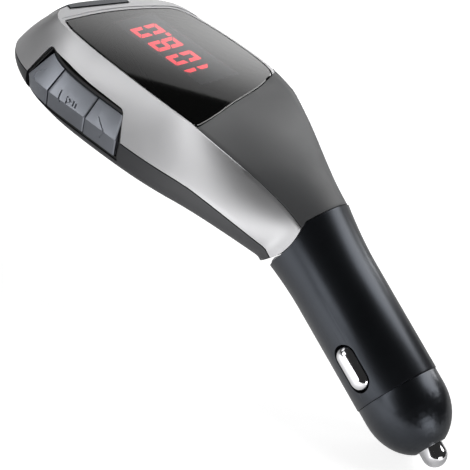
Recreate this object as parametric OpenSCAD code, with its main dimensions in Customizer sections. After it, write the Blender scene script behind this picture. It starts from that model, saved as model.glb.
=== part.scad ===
// Car FM transmitter: a 12 V plug with a bent neck that carries a wide head with a display.
// The origin lies on the plug's axis, at the seam between barrel and nose cap. The head's top is
// level, +X runs from the head towards the plug, -Y is the side with the buttons and +Z is up.

/* [Plug] */
// Diameter of the barrel that enters the vehicle's 12 V socket
barrel_d = 20.9; // [20.85:0.05:21.2]
// Length of the barrel from the nose cap seam to the neck seam
barrel_l = 43.2; // [43:0.2:48]
// Wall of the barrel
barrel_wall = 1.5; // [1.3:0.1:1.6]
// Diameter of the flared upper end of the barrel and of the neck
neck_d = 23.4; // [23:0.1:24.4]
// Length of the flare below the neck seam
flare_l = 15; // [12:0.5:16]
// Diameter of the nose cap's straight guide
nose_d = 20.5; // [20.2:0.05:20.55]
// Length of the nose cap's straight guide
nose_guide_l = 3.7; // [3.4:0.1:5]
// Height of the nose cap's dome
nose_dome_l = 12.4; // [12:0.2:14]
// Diameter of the sprung centre contact
tip_d = 6; // [5.2:0.1:6.4]
// Distance that the centre contact stands out of the nose cap
tip_out = 5; // [4.4:0.1:6]
// Travel of the centre contact
tip_travel = 3; // [2:0.1:3.4]
// Length of a side contact along the plug
side_contact_l = 11.7; // [10:0.1:12]
// Width of a side contact
side_contact_w = 5.6; // [5:0.1:6]
// Distance that a side contact stands out of the barrel
side_contact_out = 1.25; // [1:0.05:1.5]
// Travel of a side contact into the barrel
side_contact_travel = 1; // [0.6:0.05:1.1]
// Distance from the nose cap seam to the nearer end of a side contact
side_contact_gap = 3; // [2.8:0.1:4]

/* [Fuse and board of the plug] */
// Length of the cartridge fuse
fuse_l = 20; // [19:0.5:20]
// Diameter of the end caps of the fuse
fuse_d = 5.2; // [5:0.05:5.3]
// Length of an end cap of the fuse
fuse_cap_l = 4.6; // [4:0.1:6]
// Wall of the fuse tube
fuse_tube_wall = 0.9; // [0.8:0.05:1]
// Length that the contact spring takes behind the fuse
spring_room = 7; // [6.5:0.1:7.4]
// Thickness of the circuit boards
board_t = 1.2; // [1:0.1:1.6]

/* [Neck] */
// Angle between the top of the head and the axis of the plug
neck_angle = 29; // [27:0.5:31]
// Radius of the neck's bend, measured on the axis line
bend_r = 55.4; // [53:0.2:60]
// Radius of the rounded end of the neck about the tilt pin
tongue_r = 13; // [12.8:0.1:13.4]
// Distance by which the rounded end reaches past the neck's upper edge
tongue_out = 3.1; // [2.9:0.1:3.3]
// Gap under the neck that leaves room to tilt
tilt_gap = 2.1; // [2:0.1:2.6]
// Width of the knuckle across the neck
knuckle_w = 9; // [8:0.2:9.6]
// Diameter of the knuckle's round end
knuckle_d = 11; // [10:0.2:11.4]
// Diameter of the tilt pin
tilt_pin_d = 3; // [2.6:0.1:3.2]
// Thickness of a friction washer
washer_t = 0.8; // [0.6:0.1:0.9]

/* [Head] */
// Length of the head in front of the bend
head_l = 63; // [62:0.5:66]
// Half width at the parting line on the button side
near_half_w = 24.2; // [23.6:0.2:25]
// Half width at the parting line on the far side
far_half_w = 23.6; // [23:0.2:25]
// Half width of the top on the button side
near_top_w = 20.9; // [20.7:0.1:21.4]
// Half width of the top on the far side
far_top_w = 21.9; // [21.8:0.1:22.4]
// Length of the flat top in front of the bend
top_l = 52; // [51.6:0.2:53.6]
// Depth of the parting line below the axis line
parting_drop = 1.8; // [1.6:0.1:2.2]
// Depth of the bottom shell's deepest line below the axis line
keel_drop = 14; // [13.4:0.2:15]
// Wall of the head's shells
shell_wall = 1.6; // [1.4:0.1:1.8]
// Thickness of the dark cover on the spine
spine_t = 0.8; // [0.6:0.1:0.9]

/* [Display] */
// Thickness of the display window
window_t = 1.2; // [1:0.1:1.4]
// Height of a digit
digit_h = 9.4; // [8.6:0.2:9.8]
// Width of a digit
digit_w = 4.3; // [4:0.1:4.6]
// Distance from one digit to the next
digit_pitch = 6.5; // [6.3:0.05:6.6]
// Width of a lit segment
segment_w = 0.9; // [0.7:0.05:1]

/* [Buttons and socket] */
// Length of the row of three buttons
button_row_l = 31.4; // [30:0.2:32]
// Height of the buttons above the parting line
button_above = 5.5; // [5:0.1:5.8]
// Height of the buttons below the parting line
button_below = 4.4; // [4:0.1:4.8]
// Gap between neighbouring buttons
button_gap = 0.35; // [0.3:0.05:0.5]
// Travel of a button
button_travel = 0.4; // [0.3:0.05:0.5]
// Distance that the buttons stand out past the shell at the parting line
button_out = 0.4; // [0.2:0.05:0.6]
// Inside width of the socket for a charging lead
socket_w = 12.5; // [12.4:0.1:12.8]
// Inside height of the socket for a charging lead
socket_h = 5.1; // [5:0.1:5.2]

/* [Hidden] */

// Fineness of round faces, and of those that the shells' faceted forms take in
round_fn = 64;
shell_fn = 24;
// Clearances: between pieces that are assembled, and between pieces that slide or turn
seat_gap = 0.15;
slide_gap = 0.25;
fit_gap = 0.05;
// Distance by which a cut runs past the solid that it cuts
overrun = 1;
// Width of the visible seams
seam = 0.2;

// Radii of the plug's round pieces
barrel_r = barrel_d / 2;
bore_r = barrel_r - barrel_wall;
neck_r = neck_d / 2;
nose_r = nose_d / 2;
tip_r = tip_d / 2;
fuse_r = fuse_d / 2;
// Fullness of the flare's curve
flare_power = 1.8;

// Nose cap: rim round the centre contact, depth of its bore, spigot in the barrel
nose_rim_w = 0.9;
nose_bore_l = 4;
nose_spigot_l = 1.4;
nose_spigot_wall = 1.6;
nose_end = nose_guide_l + nose_dome_l * sqrt(1 - pow((tip_r + nose_rim_w) / nose_r, 2));
nose_bore_end = nose_end - nose_bore_l;

// Centre contact: the flange that keeps it in, with the fuse and its spring behind it
tip_flange_w = 1.4;
tip_flange_t = 1.4;
tip_flange_r = tip_r + tip_flange_w;
tip_base = nose_bore_end - tip_flange_t;
fuse_back = tip_base - fuse_l;
fuse_cap_wall = 0.15;
spring_back = fuse_back - spring_room;
spring_wire = 0.6;

// Fuse tube: its floor is a disc that centres it in the barrel
tube_floor_t = 1.2;
tube_r = fuse_r + seat_gap + fuse_tube_wall;
tube_back = spring_back - tube_floor_t;
tube_front = -nose_spigot_l - seam;

// Side contacts: capsules whose ends and crown share one radius, with a flange inside the bore
contact_r = side_contact_w / 2;
contact_mid = -side_contact_gap - side_contact_l / 2;
contact_depth = barrel_r + side_contact_out - contact_r;
flange_over_w = 1.1;
flange_over_l = 0.7;
flange_t = 0.8;
flange_w = side_contact_w + 2 * flange_over_w;
flange_y = sqrt(pow(bore_r, 2) - pow(flange_w / 2, 2)) - fit_gap - flange_t;
leaf_t = 0.3;
leaf_w = 3;
leaf_y = tube_r + 2 * leaf_t;

// The tilt pin: its place on the plug's axis and the travel that the gap allows
pivot_s = -barrel_l + tongue_out - tongue_r;
shoulder_s = -barrel_l + tongue_out + seam;
chin_s = shoulder_s - tilt_gap;
knuckle_base_t = 3;
collar_t = 0.55;
collar_step = 1.1;
tilt_pin_r = tilt_pin_d / 2;
washer_r = 3.6;
ear_t = 3;
ear_r = 4.2;
ear_y = knuckle_w / 2 + washer_t + fit_gap;

// Board of the plug, from the leaves of the side contacts to the knuckle, and its coil
plug_board_gap = 0.5;
plug_board_front = tube_back - 2 * leaf_t;
plug_board_back = shoulder_s + knuckle_base_t + plug_board_gap;
plug_board_w = 2 * sqrt(pow(bore_r - seat_gap, 2) - pow(board_t / 2, 2));
coil_r = 4;
coil_waist = 0.7;
coil_h = 5;
coil_rim = 0.8;

// Supply leads: through a channel in the knuckle, on the underside of the pin
lead_r = 0.65;
lead_y = 0.9;
lead_depth = 3.6;
lead_solder_l = 2.4;
tube_sides = 12;
lead_end_s = pivot_s - knuckle_d / 2 - 1.5 * lead_r;

// Places in the head
bend_start_x = -barrel_l * cos(neck_angle) - bend_r * sin(neck_angle);
axis_z = barrel_l * sin(neck_angle) + bend_r * (1 - cos(neck_angle));
bend_l = bend_r * neck_angle * PI / 180;
neck_run = neck_d * 0.21;

// Shape of the head's plan, as shares of the sizes that carry it
crease_share = 0.80;
crease_sag_share = 0.40;
front_taper_share = 0.105;
far_taper_front_share = 0.38;
near_bend_front_share = 0.07;
far_bend_front_share = 0.27;
part_bend_front_share = 0.27;
front_round_share = 0.56;
front_skew_share = 0.17;
skew_start_share = 0.62;
keel_rise_share = 0.10;
neck_keel_share = 0.74;
flank_out_share = 0.72;
flank_front_share = 0.58;
flank_down_share = 0.42;
// Fullness of the rounded outlines: 2 is an ellipse and more is squarer
top_round = 3.3;
part_round = 2.35;
belly_round = 3.1;
belly_front_round = 2.2;

// Counts of rings along the head and of points round it
front_n = 10;
mid_n = 5;
bend_n = 11;
crown_n = 3;
flank_n = 5;
belly_n = 6;
station_n = front_n + mid_n + bend_n;
front_u = -head_l * front_round_share;

// Outline of the display window, starting at its front corner on the button side: places along
// the head as shares of its length, and across it as shares of the top's width on that side
window_shares = [
    [-0.729, -0.641], [-0.730, -0.761], [-0.698, -0.801], [-0.656, -0.842], [-0.521, -0.890],
    [-0.362, -0.923], [-0.190, -0.945], [0.000, -0.952], [0.032, -0.952], [0.029, -0.856],
    [0.011, -0.555], [-0.030, -0.086], [-0.065, 0.455], [-0.098, 0.742], [-0.121, 0.928],
    [-0.206, 1.005], [-0.387, 1.019], [-0.540, 0.971], [-0.635, 0.904], [-0.671, 0.612],
    [-0.703, 0.249], [-0.725, -0.191]
];
// Which of those points are the rear corners
window_near_corner = 8;
window_far_corner = 14;
window_mid_share = -0.35;
window_smoothing = 2;
// The tray under the window: its floor and how far it reaches past the window
tray_t = 1.2;
tray_rim = 1.2;
// The spine's cover starts beside the window and leaves a rim at the creases
cover_start = 3;
cover_rim = 0.4;

// Display module and its pins and digits
module_l = 30;
module_w = 14;
module_h = 6;
module_u = -head_l * 0.4175;
module_y = near_top_w * 0.172;
module_top = neck_r - window_t - 2 * seam;
module_pin_r = 0.3;
module_pin_n = 6;
module_pin_edge = 1.2;
digit_t = 0.15;
// Which segments each digit lights: top, top right, bottom right, bottom, bottom left, top left, middle
digits_lit = [[0, 1, 1, 0, 0, 0, 0], [1, 1, 1, 1, 1, 1, 0], [1, 1, 1, 1, 1, 1, 1], [1, 1, 1, 1, 1, 1, 0]];
digit_slant = 0.1;

// Main board: its top lies a little below the parting line, a tongue carries the socket
board_drop = 1.2;
board_top = -parting_drop - board_drop;
board_base = board_top - board_t;
board_front = -head_l * 0.735;
board_back = -head_l * 0.064;
board_far = far_half_w * 0.763;
board_corner = 7;
board_tongue_l = 9.2;
board_tongue_w = 12.6;

// Screw posts: places along the head as shares, then clearances to the board's edges and switches
post_shares = [-0.686, -0.637, -0.111, -0.127];
post_gap = 0.7;
post_edge = 2.4;
post_far_gap = [3.6, 4];
screw_r = 0.9;
screw_head_r = 2;
screw_head_t = 1.3;
screw_grip = 3.4;
screw_reach = 6;
post_wall = 1.6;
post_r = screw_r + post_wall;
well_wall = 0.9;
well_r = screw_head_r + slide_gap;
screw_seat = board_base - screw_grip;

// Pieces on the main board
can_l = 13;
can_w = 12;
can_h = 2.5;
can_wall = 0.25;
can_u = -head_l * 0.43;
can_y = near_top_w * 0.13;
chip_l = 6;
chip_w = 5;
chip_h = 1.1;
chip_shares = [[-0.278, -0.230], [-0.268, 0.480], [-0.520, 0.700]];
cap_r = 3;
cap_h = 6;
cap_shares = [[-0.128, -0.210], [-0.128, 0.200]];
mic_r = 2;
mic_h = 1.6;
mic_hole_r = 0.6;
mic_u = -head_l * 0.603;
mic_gap = 0.7;
antenna_r = 0.4;
antenna_rise = 4;
antenna_front = -head_l * 0.571;
antenna_back = -head_l * 0.195;
antenna_y = far_top_w * 0.767;

// Row of buttons: places of its ends and gaps, its slanting ends and its rising top
row_back = -head_l * 0.238;
row_front = row_back - button_row_l;
row_shares = [0, 0.25, 0.66, 1];
row_lean_share = 0.40;
row_rise = 2.2;
row_rise_share = 0.67;
row_n = 12;
button_n = 4;
button_depth = 5;
button_inset = 3;
button_foot_inset = 0;
button_back = near_half_w - button_depth;

// The frame behind the buttons: a tray in the notch of both shells
frame_wall = 0.6;
frame_inset = 0.35;
frame_foot_inset = 0.4;
frame_lean_share = 0.33;
frame_floor = button_back - button_travel - seat_gap;
frame_back = frame_floor - frame_wall;
notch_out = 3;

// Switches on the board's edge and the plungers that reach them
switch_l = 6;
switch_w = 4.2;
switch_h = 3.8;
switch_stub_r = 1.2;
switch_stub_l = 0.3;
switch_gap = 1.65;
switch_y = frame_back - switch_gap;
plunger_r = 0.9;
plunger_v = board_top + switch_h / 2;
plunger_end = switch_y + switch_stub_l + button_travel + fit_gap;

// What stands beside the switches
mic_y = -switch_y + switch_w + mic_gap + mic_r;
post_y = [-switch_y + switch_w + post_gap + post_r, board_far - post_far_gap[0],
          -switch_y + post_edge, board_far - post_far_gap[1]];

// Panel at the front: a cap that stands a little proud of the head's form, turned in plan
panel_w = 18.1;
panel_y = -near_top_w * 0.059;
panel_back = -head_l * 0.767;
panel_foot = -neck_r * 0.55;
panel_proud = 0.25;
panel_face_t = 2;
panel_wall = 1.2;
panel_turn = -atan(front_skew_share);

// Socket for a charging lead: shell and tongue
socket_wall = 0.3;
socket_l = 13;
socket_y = -near_top_w * 0.0144;
socket_v = board_top + socket_wall + socket_h / 2;
socket_front = -head_l * 0.927;
tongue_t = 1.84;
tongue_w = 11.1;
tongue_gap = 0.9;
tongue_set = 0.8;
tongue_block_l = 3;

// Smooth fall from 1 to 0
function fall(t) = t <= 0 ? 1 : t >= 1 ? 0 : pow(cos(90 * t), 2);
// A quarter of a superellipse: s from 0 to 1 runs from [1, 0] to [0, 1]
function quarter(s, n) = [pow(max(0, cos(90 * s)), 2 / n), pow(max(0, sin(90 * s)), 2 / n)];
function lerp(a, b, t) = a + (b - a) * t;
function curve3(a, c, b, t) = a * pow(1 - t, 2) + 2 * c * t * (1 - t) + b * pow(t, 2);

// Bends a point [u, y, v] of the straight head round the neck: u runs back, v up
function bend(q) =
    q[0] <= 0 ? q :
    q[0] <= bend_l ? let(a = q[0] / bend_r * 180 / PI)
        [(bend_r + q[2]) * sin(a), q[1], (bend_r + q[2]) * cos(a) - bend_r] :
    let(e = q[0] - bend_l)
        [(bend_r + q[2]) * sin(neck_angle) + e * cos(neck_angle), q[1],
         (bend_r + q[2]) * cos(neck_angle) - bend_r - e * sin(neck_angle)];

// Half width of the top's edge and of the parting line on one side, and the spine's crown
function top_edge(u, side) =
    let(full = side < 0 ? near_top_w : far_top_w,
        start = -head_l * (side < 0 ? near_bend_front_share : far_bend_front_share),
        stop = bend_l * (side < 0 ? 1.15 : 1.05),
        neck = neck_r * crease_share,
        taper_start = side < 0 ? start : -head_l * far_taper_front_share,
        taper = max(0, front_taper_share * full * (taper_start - u) / (head_l * 0.5)))
    neck + (full - taper - neck) * fall((u - start) / (stop - start));
function part_edge(u, side) =
    let(full = side < 0 ? near_half_w : far_half_w, start = -head_l * part_bend_front_share,
        t = max(0, (u - start) / (bend_l - start)))
    neck_r + (full - neck_r) * max(0, 1 - pow(t, 2.6));
function sag(u) = u <= 0 ? 0 : neck_r * crease_sag_share * sin(90 * min(1, u / bend_l));
// Depth of the keel: it rises to the front like a boat's and a little towards the neck
function keel(u) =
    let(front = -head_l * keel_rise_share, t = max(0, (front - u) / (head_l + front)),
        b = max(0, min(1, (u + head_l / 2) / (bend_l + head_l / 2))))
    parting_drop + (keel_drop * lerp(1, neck_keel_share, b) - parting_drop) * pow(max(0, 1 - pow(t, 2)), 0.5);

// One side of a ring: the crown from the middle, the flank to the parting line, the belly
function ring_side(i, side, inset) =
    let(s = i <= front_n ? 1 - i / front_n : 0,
        u = i <= front_n ? front_u :
            i <= front_n + mid_n ? front_u * (1 - (i - front_n) / mid_n) :
            (bend_l + neck_run) * (i - front_n - mid_n) / bend_n,
        qa = quarter(s, top_round), qw = quarter(s, part_round),
        top_y = (top_edge(u, side) - inset) * qa[0],
        part_y = (part_edge(u, side) - inset) * qw[0],
        top_u = u - (top_l - inset + front_u) * qa[1],
        part_u = u - (head_l - inset + front_u) * qw[1],
        skew_y = near_top_w * skew_start_share,
        top_lean = front_skew_share * (side * top_y + skew_y) * qa[1],
        part_lean = front_skew_share * (side * part_y + skew_y) * qw[1],
        top_v = neck_r - inset, edge_v = top_v - sag(u),
        out_share = lerp(flank_out_share, flank_front_share, qw[1]),
        fullness = lerp(belly_round, belly_front_round, qw[1]),
        belly_v = -keel(part_u) + inset)
    concat(
        [for (k = [0:crown_n]) let(t = k / crown_n)
            [top_u + lerp(front_skew_share * skew_y * qa[1], top_lean, t), side * top_y * t,
             top_v - sag(u) * t * t]],
        [for (k = [1:flank_n]) let(t = k / flank_n)
            [curve3(top_u + top_lean, lerp(top_u + top_lean, part_u + part_lean, out_share),
                    part_u + part_lean, t),
             side * curve3(top_y, lerp(top_y, part_y, out_share), part_y, t),
             curve3(edge_v, lerp(edge_v, -parting_drop, flank_down_share), -parting_drop, t)]],
        [for (k = [1:belly_n]) let(q = quarter(k / belly_n, fullness))
            [part_u + lerp(front_skew_share * skew_y * qw[1], part_lean, q[0]), side * part_y * q[0],
             -parting_drop + (belly_v + parting_drop) * q[1]]]);

// A closed solid through rings of points, each ring running from the top over -Y to the bottom
module loft(rings) {
    m = len(rings[0]);
    n = len(rings);
    last = (n - 1) * m * [1, 1, 1];
    polyhedron(
        points = [for (r = rings) for (q = r) q],
        faces = concat(
            [for (k = [0:ceil(m / 2) - 2]) [k, k + 1, m - 1 - k]],
            [for (k = [1:ceil((m - 1) / 2) - 1]) [k, m - 1 - k, m - k]],
            [for (i = [0:n - 2]) for (k = [0:m - 1])
                [i * m + k, (i + 1) * m + (k + 1) % m, i * m + (k + 1) % m]],
            [for (i = [0:n - 2]) for (k = [0:m - 1])
                [i * m + k, (i + 1) * m + k, (i + 1) * m + (k + 1) % m]],
            [for (k = [0:ceil(m / 2) - 2]) last + [k + 1, k, m - 1 - k]],
            [for (k = [1:ceil((m - 1) / 2) - 1]) last + [m - 1 - k, k, m - k]]));
}

// The head's whole outer form, or the same form drawn in by a wall
module head_form(inset) {
    loft([for (i = [(inset > 0 ? 1 : 0):station_n])
        let(a = ring_side(i, -1, inset), b = ring_side(i, 1, inset), m = len(a))
        [for (q = concat(a, [for (k = [m - 2:-1:1]) b[k]])) bend(q)]]);
}

module in_head() { translate([bend_start_x, 0, axis_z]) children(); }
module in_plug() { rotate([0, 90 + neck_angle, 0]) children(); }

// Everything above, or below, the parting line, as far as the end of the neck
module parting_block(up) {
    w = max(near_half_w, far_half_w) + overrun;
    high = up ? neck_r + overrun : -parting_drop - seam;
    low = up ? -parting_drop : -keel_drop - overrun;
    last = bend_l + neck_run + overrun;
    loft([for (u = concat([-head_l - overrun, 0], [for (k = [1:bend_n]) last * k / bend_n]))
        [for (q = [[w, high], [-w, high], [-w, low], [w, low]]) bend([u, q[0], q[1]])]]);
}

// What the head's neck end leaves free: past a square upper edge, a round tongue and a chin
module beyond_neck() {
    reach = 2 * neck_d;
    in_plug() translate([0, 0, pivot_s]) difference() {
        translate([-reach, -reach, 0]) cube([2 * reach, 2 * reach, reach]);
        rotate([90, 0, 0]) cylinder(r = tongue_r, h = 3 * reach, center = true, $fn = 3 * shell_fn);
        translate([-reach - overrun, -reach, -overrun])
            cube([reach + overrun, 2 * reach, -barrel_l - pivot_s + overrun]);
        translate([0, -reach, -overrun])
            cube([reach + overrun, 2 * reach, chin_s - pivot_s + overrun]);
    }
}

// A round bar from one point to another, with a round end at the second
module rod(a, b, r) {
    d = b - a;
    translate(a) rotate([0, acos(d[2] / norm(d)), atan2(d[1], d[0])])
        cylinder(r = r, h = norm(d), $fn = round_fn);
    translate(b) sphere(r = r, $fn = round_fn);
}

// A slot form along the plug, centred
module stadium(length, r, depth) {
    run = length / 2 - r;
    for (e = [-run, run]) translate([0, e, 0]) cylinder(r = r, h = depth, center = true, $fn = round_fn);
    cube([2 * r, 2 * run, depth], center = true);
}

// The flared barrel, hollow, with a saddle for the tongue and a slot for each side contact
module barrel() color([0.09, 0.09, 0.11]) in_plug() difference() {
    rotate_extrude($fn = round_fn) polygon(concat(
        [[bore_r, 0], [bore_r, -barrel_l + seam]],
        [for (k = [0:8]) let(t = k / 8)
            [barrel_r + (neck_r - barrel_r) * pow(1 - t, flare_power), -barrel_l + seam + flare_l * t]],
        [[barrel_r, 0]]));
    translate([0, 0, pivot_s]) rotate([90, 0, 0])
        cylinder(r = tongue_r + seam, h = 2 * neck_d, center = true, $fn = 2 * round_fn);
    translate([0, -neck_d, -barrel_l - overrun])
        cube([neck_d, 2 * neck_d, shoulder_s + barrel_l + overrun]);
    for (side = [-1, 1]) translate([0, side * barrel_r, contact_mid]) rotate([90, 0, 0])
        stadium(side_contact_l + 2 * slide_gap, contact_r + slide_gap, 2 * (barrel_r - flange_w / 2));
}

// The domed nose cap with its guide for the centre contact
module nose_cap() color([0.09, 0.09, 0.11]) in_plug() {
    spigot_r = bore_r - fit_gap;
    hole_r = tip_r + 2 * fit_gap;
    rotate_extrude($fn = round_fn) polygon(concat(
        [[spigot_r - nose_spigot_wall, -nose_spigot_l], [spigot_r, -nose_spigot_l], [spigot_r, 0]],
        [[nose_r, 0]],
        [for (k = [0:12]) let(z = (nose_end - nose_guide_l) * sin(90 * k / 12))
            [nose_r * sqrt(1 - pow(z / nose_dome_l, 2)), nose_guide_l + z]],
        [[hole_r, nose_end], [hole_r, nose_bore_end], [tip_flange_r + seat_gap, nose_bore_end],
         [tip_flange_r + seat_gap, tip_base - tip_flange_t], [spigot_r - nose_spigot_wall, nose_guide_l]]));
}

// The sprung centre contact: a round end, a shank and the flange that keeps it in
module nose_contact() color([0.80, 0.81, 0.84]) in_plug() {
    round_s = nose_end + tip_out - tip_r;
    translate([0, 0, tip_base]) cylinder(r = tip_r, h = round_s - tip_base, $fn = round_fn);
    translate([0, 0, round_s]) sphere(r = tip_r, $fn = round_fn);
    translate([0, 0, tip_base]) cylinder(r = tip_flange_r, h = tip_flange_t - fit_gap, $fn = round_fn);
}

// The spring behind the fuse, drawn as the sleeve that its turns fill
module nose_spring() color([0.66, 0.67, 0.70]) in_plug() translate([0, 0, spring_back]) difference() {
    cylinder(r = fuse_r - fit_gap, h = spring_room, $fn = round_fn);
    translate([0, 0, -overrun])
        cylinder(r = fuse_r - fit_gap - spring_wire, h = spring_room + 2 * overrun, $fn = round_fn);
}

// The cartridge fuse: a glass tube between two caps
module fuse_glass() color([0.86, 0.90, 0.92]) in_plug() translate([0, 0, fuse_back + fuse_cap_wall])
    cylinder(r = fuse_r - fuse_cap_wall, h = fuse_l - 2 * fuse_cap_wall, $fn = round_fn);
module fuse_caps() color([0.78, 0.78, 0.80]) in_plug() for (end = [0, 1])
    translate([0, 0, fuse_back + end * fuse_l]) mirror([0, 0, end]) difference() {
        cylinder(r = fuse_r, h = fuse_cap_l, $fn = round_fn);
        translate([0, 0, fuse_cap_wall])
            cylinder(r = fuse_r - fuse_cap_wall, h = fuse_cap_l, $fn = round_fn);
    }

// The tube that guides the fuse, on its disc with a notch for each leaf
module fuse_tube() color([0.85, 0.84, 0.80]) in_plug() translate([0, 0, tube_back]) difference() {
    union() {
        cylinder(r = tube_r, h = tube_front - tube_back, $fn = round_fn);
        cylinder(r = bore_r - fit_gap, h = tube_floor_t, $fn = round_fn);
    }
    translate([0, 0, tube_floor_t])
        cylinder(r = fuse_r + seat_gap, h = tube_front - tube_back, $fn = round_fn);
    for (side = [-1, 1]) translate([0, side * (tube_r + bore_r / 2 + leaf_t), 0])
        cube([leaf_w + 2 * slide_gap, bore_r, 3 * tube_floor_t], center = true);
}

// A side contact: a capsule that shows through its slot, on a flange that stops it inside
module side_contact(side) color([0.80, 0.81, 0.84]) in_plug() {
    run = side_contact_l / 2 - contact_r;
    translate([0, side * contact_depth, contact_mid]) {
        for (e = [-run, run]) translate([0, 0, e]) sphere(r = contact_r, $fn = round_fn);
        translate([0, 0, -run]) cylinder(r = contact_r, h = 2 * run, $fn = round_fn);
    }
    translate([0, side * (flange_y + flange_t / 2), contact_mid])
        cube([flange_w, flange_t, side_contact_l + 2 * flange_over_l], center = true);
}
module side_contact_near() side_contact(-1);
module side_contact_far() side_contact(1);

// A leaf from the plug's board to the back of a side contact: one bent strip
module side_spring(side) color([0.75, 0.60, 0.35]) in_plug() {
    outer = leaf_y + leaf_t / 2;
    rise = contact_depth - contact_r - fit_gap - outer;
    run = contact_mid - tube_back;
    slope = leaf_t * norm([rise, run]) / run;
    rotate([90, 0, 90]) linear_extrude(height = leaf_w, center = true) mirror([side < 0 ? 1 : 0, 0]) polygon([
        [leaf_t, plug_board_front], [outer, plug_board_front], [outer, tube_back],
        [outer + rise, contact_mid], [outer + rise - slope, contact_mid], [outer - slope, tube_back],
        [outer - slope, tube_back - leaf_t], [leaf_t, tube_back - leaf_t]]);
}
module side_spring_near() side_spring(-1);
module side_spring_far() side_spring(1);

// The plug's board, across the barrel, and the drum-shaped coil of its converter
module plug_board() color([0.10, 0.32, 0.20]) in_plug()
    translate([-board_t / 2, -plug_board_w / 2, plug_board_back])
        cube([board_t, plug_board_w, plug_board_front - plug_board_back]);
module plug_coil() color([0.30, 0.29, 0.30]) in_plug()
    translate([-board_t / 2, 0, (plug_board_front + plug_board_back) / 2]) rotate([0, -90, 0])
        rotate_extrude($fn = round_fn) polygon([
            [0, 0], [coil_r, 0], [coil_r, coil_rim], [coil_r - coil_waist, coil_rim],
            [coil_r - coil_waist, coil_h - coil_rim], [coil_r, coil_h - coil_rim],
            [coil_r, coil_h], [0, coil_h]]);

// The knuckle: a base in the bore, a collar on the shoulder and a tongue that holds the pin
module knuckle() color([0.72, 0.73, 0.75]) in_plug() difference() {
    union() {
        translate([0, 0, shoulder_s]) cylinder(r = bore_r - fit_gap, h = knuckle_base_t, $fn = round_fn);
        translate([-knuckle_d / 2, -knuckle_w / 2, pivot_s])
            cube([knuckle_d, knuckle_w, shoulder_s - pivot_s + knuckle_base_t / 2]);
        translate([0, 0, pivot_s]) rotate([90, 0, 0])
            cylinder(d = knuckle_d, h = knuckle_w, center = true, $fn = round_fn);
        difference() {
            translate([0, 0, shoulder_s - collar_t])
                cylinder(r = neck_r - collar_step, h = collar_t, $fn = round_fn);
            translate([0, 0, pivot_s]) rotate([90, 0, 0])
                cylinder(r = tongue_r + seam, h = 2 * neck_d, center = true, $fn = 2 * round_fn);
            translate([-neck_d, -neck_d, shoulder_s - neck_r]) cube([neck_d, 2 * neck_d, neck_d]);
        }
    }
    translate([0, 0, pivot_s]) rotate([90, 0, 0])
        cylinder(r = tilt_pin_r + fit_gap, h = 2 * knuckle_w, center = true, $fn = round_fn);
    translate([lead_depth - lead_r - slide_gap, -lead_y - lead_r - slide_gap, pivot_s - knuckle_d])
        cube([2 * (lead_r + slide_gap), 2 * (lead_y + lead_r + slide_gap), 3 * knuckle_d]);
}

// The pin that the head tilts on, and a washer on each side of the knuckle
module tilt_pin() color([0.62, 0.63, 0.65]) in_plug() translate([0, 0, pivot_s]) rotate([90, 0, 0])
    cylinder(r = tilt_pin_r, h = 2 * (ear_y + ear_t), center = true, $fn = round_fn);
module friction_washers() color([0.80, 0.78, 0.72]) in_plug() for (side = [-1, 1])
    translate([0, side * (knuckle_w + washer_t + fit_gap) / 2, pivot_s]) rotate([90, 0, 0]) difference() {
        cylinder(r = washer_r, h = washer_t, center = true, $fn = round_fn);
        cylinder(r = tilt_pin_r + fit_gap, h = 2 * washer_t, center = true, $fn = round_fn);
    }

// Two leads from the plug's board, past the pin, to the main board
function plug_point(x, y, s) =
    [s * cos(neck_angle) - x * sin(neck_angle), y, -s * sin(neck_angle) - x * cos(neck_angle)];
function head_point(u, y, v) = [u + bend_start_x, y, v + axis_z];
// A tube of one radius through points that share a y
module flat_tube(route, r) {
    n = len(route);
    loft([for (i = [0:n - 1])
        let(a = route[max(0, i - 1)], b = route[min(n - 1, i + 1)], d = (b - a) / norm(b - a))
        [for (k = [0:tube_sides - 1]) let(w = 360 * k / tube_sides)
            route[i] + r * (cos(w) * [-d[2], 0, d[0]] - sin(w) * [0, 1, 0])]]);
}
module supply_leads() color([0.70, 0.12, 0.10]) for (side = [-1, 1]) {
    y = side * lead_y;
    on_board = board_t / 2 + lead_r;
    base = shoulder_s + knuckle_base_t;
    flat_tube([
        plug_point(on_board, y, base + 2 * lead_solder_l), plug_point(on_board, y, base + lead_solder_l),
        plug_point(lead_depth, y, base + 2 * lead_r), plug_point(lead_depth, y, lead_end_s),
        head_point(board_back + lead_solder_l, y, board_top + lead_r),
        head_point(board_back - lead_solder_l, y, board_top + lead_r)], lead_r);
}

// The window's outline, smoothed by cutting corners and moved outwards by a gap
function smooth(p, n) = n == 0 ? p :
    smooth([for (i = [0:len(p) - 1]) let(a = p[i], b = p[(i + 1) % len(p)])
        each [lerp(a, b, 0.25), lerp(a, b, 0.75)]], n - 1);
function window_points(gap) =
    let(mid = [head_l * window_mid_share, 0])
    [for (q = smooth([for (k = [0:len(window_shares) - 1]) window_corner(k)], window_smoothing))
        q + gap * (q - mid) / norm(q - mid)];
function window_corner(k) = [window_shares[k][0] * head_l, window_shares[k][1] * near_top_w];
module window_plate(gap, low, high) {
    translate([0, 0, low]) linear_extrude(height = high - low) polygon(window_points(gap));
}

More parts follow.
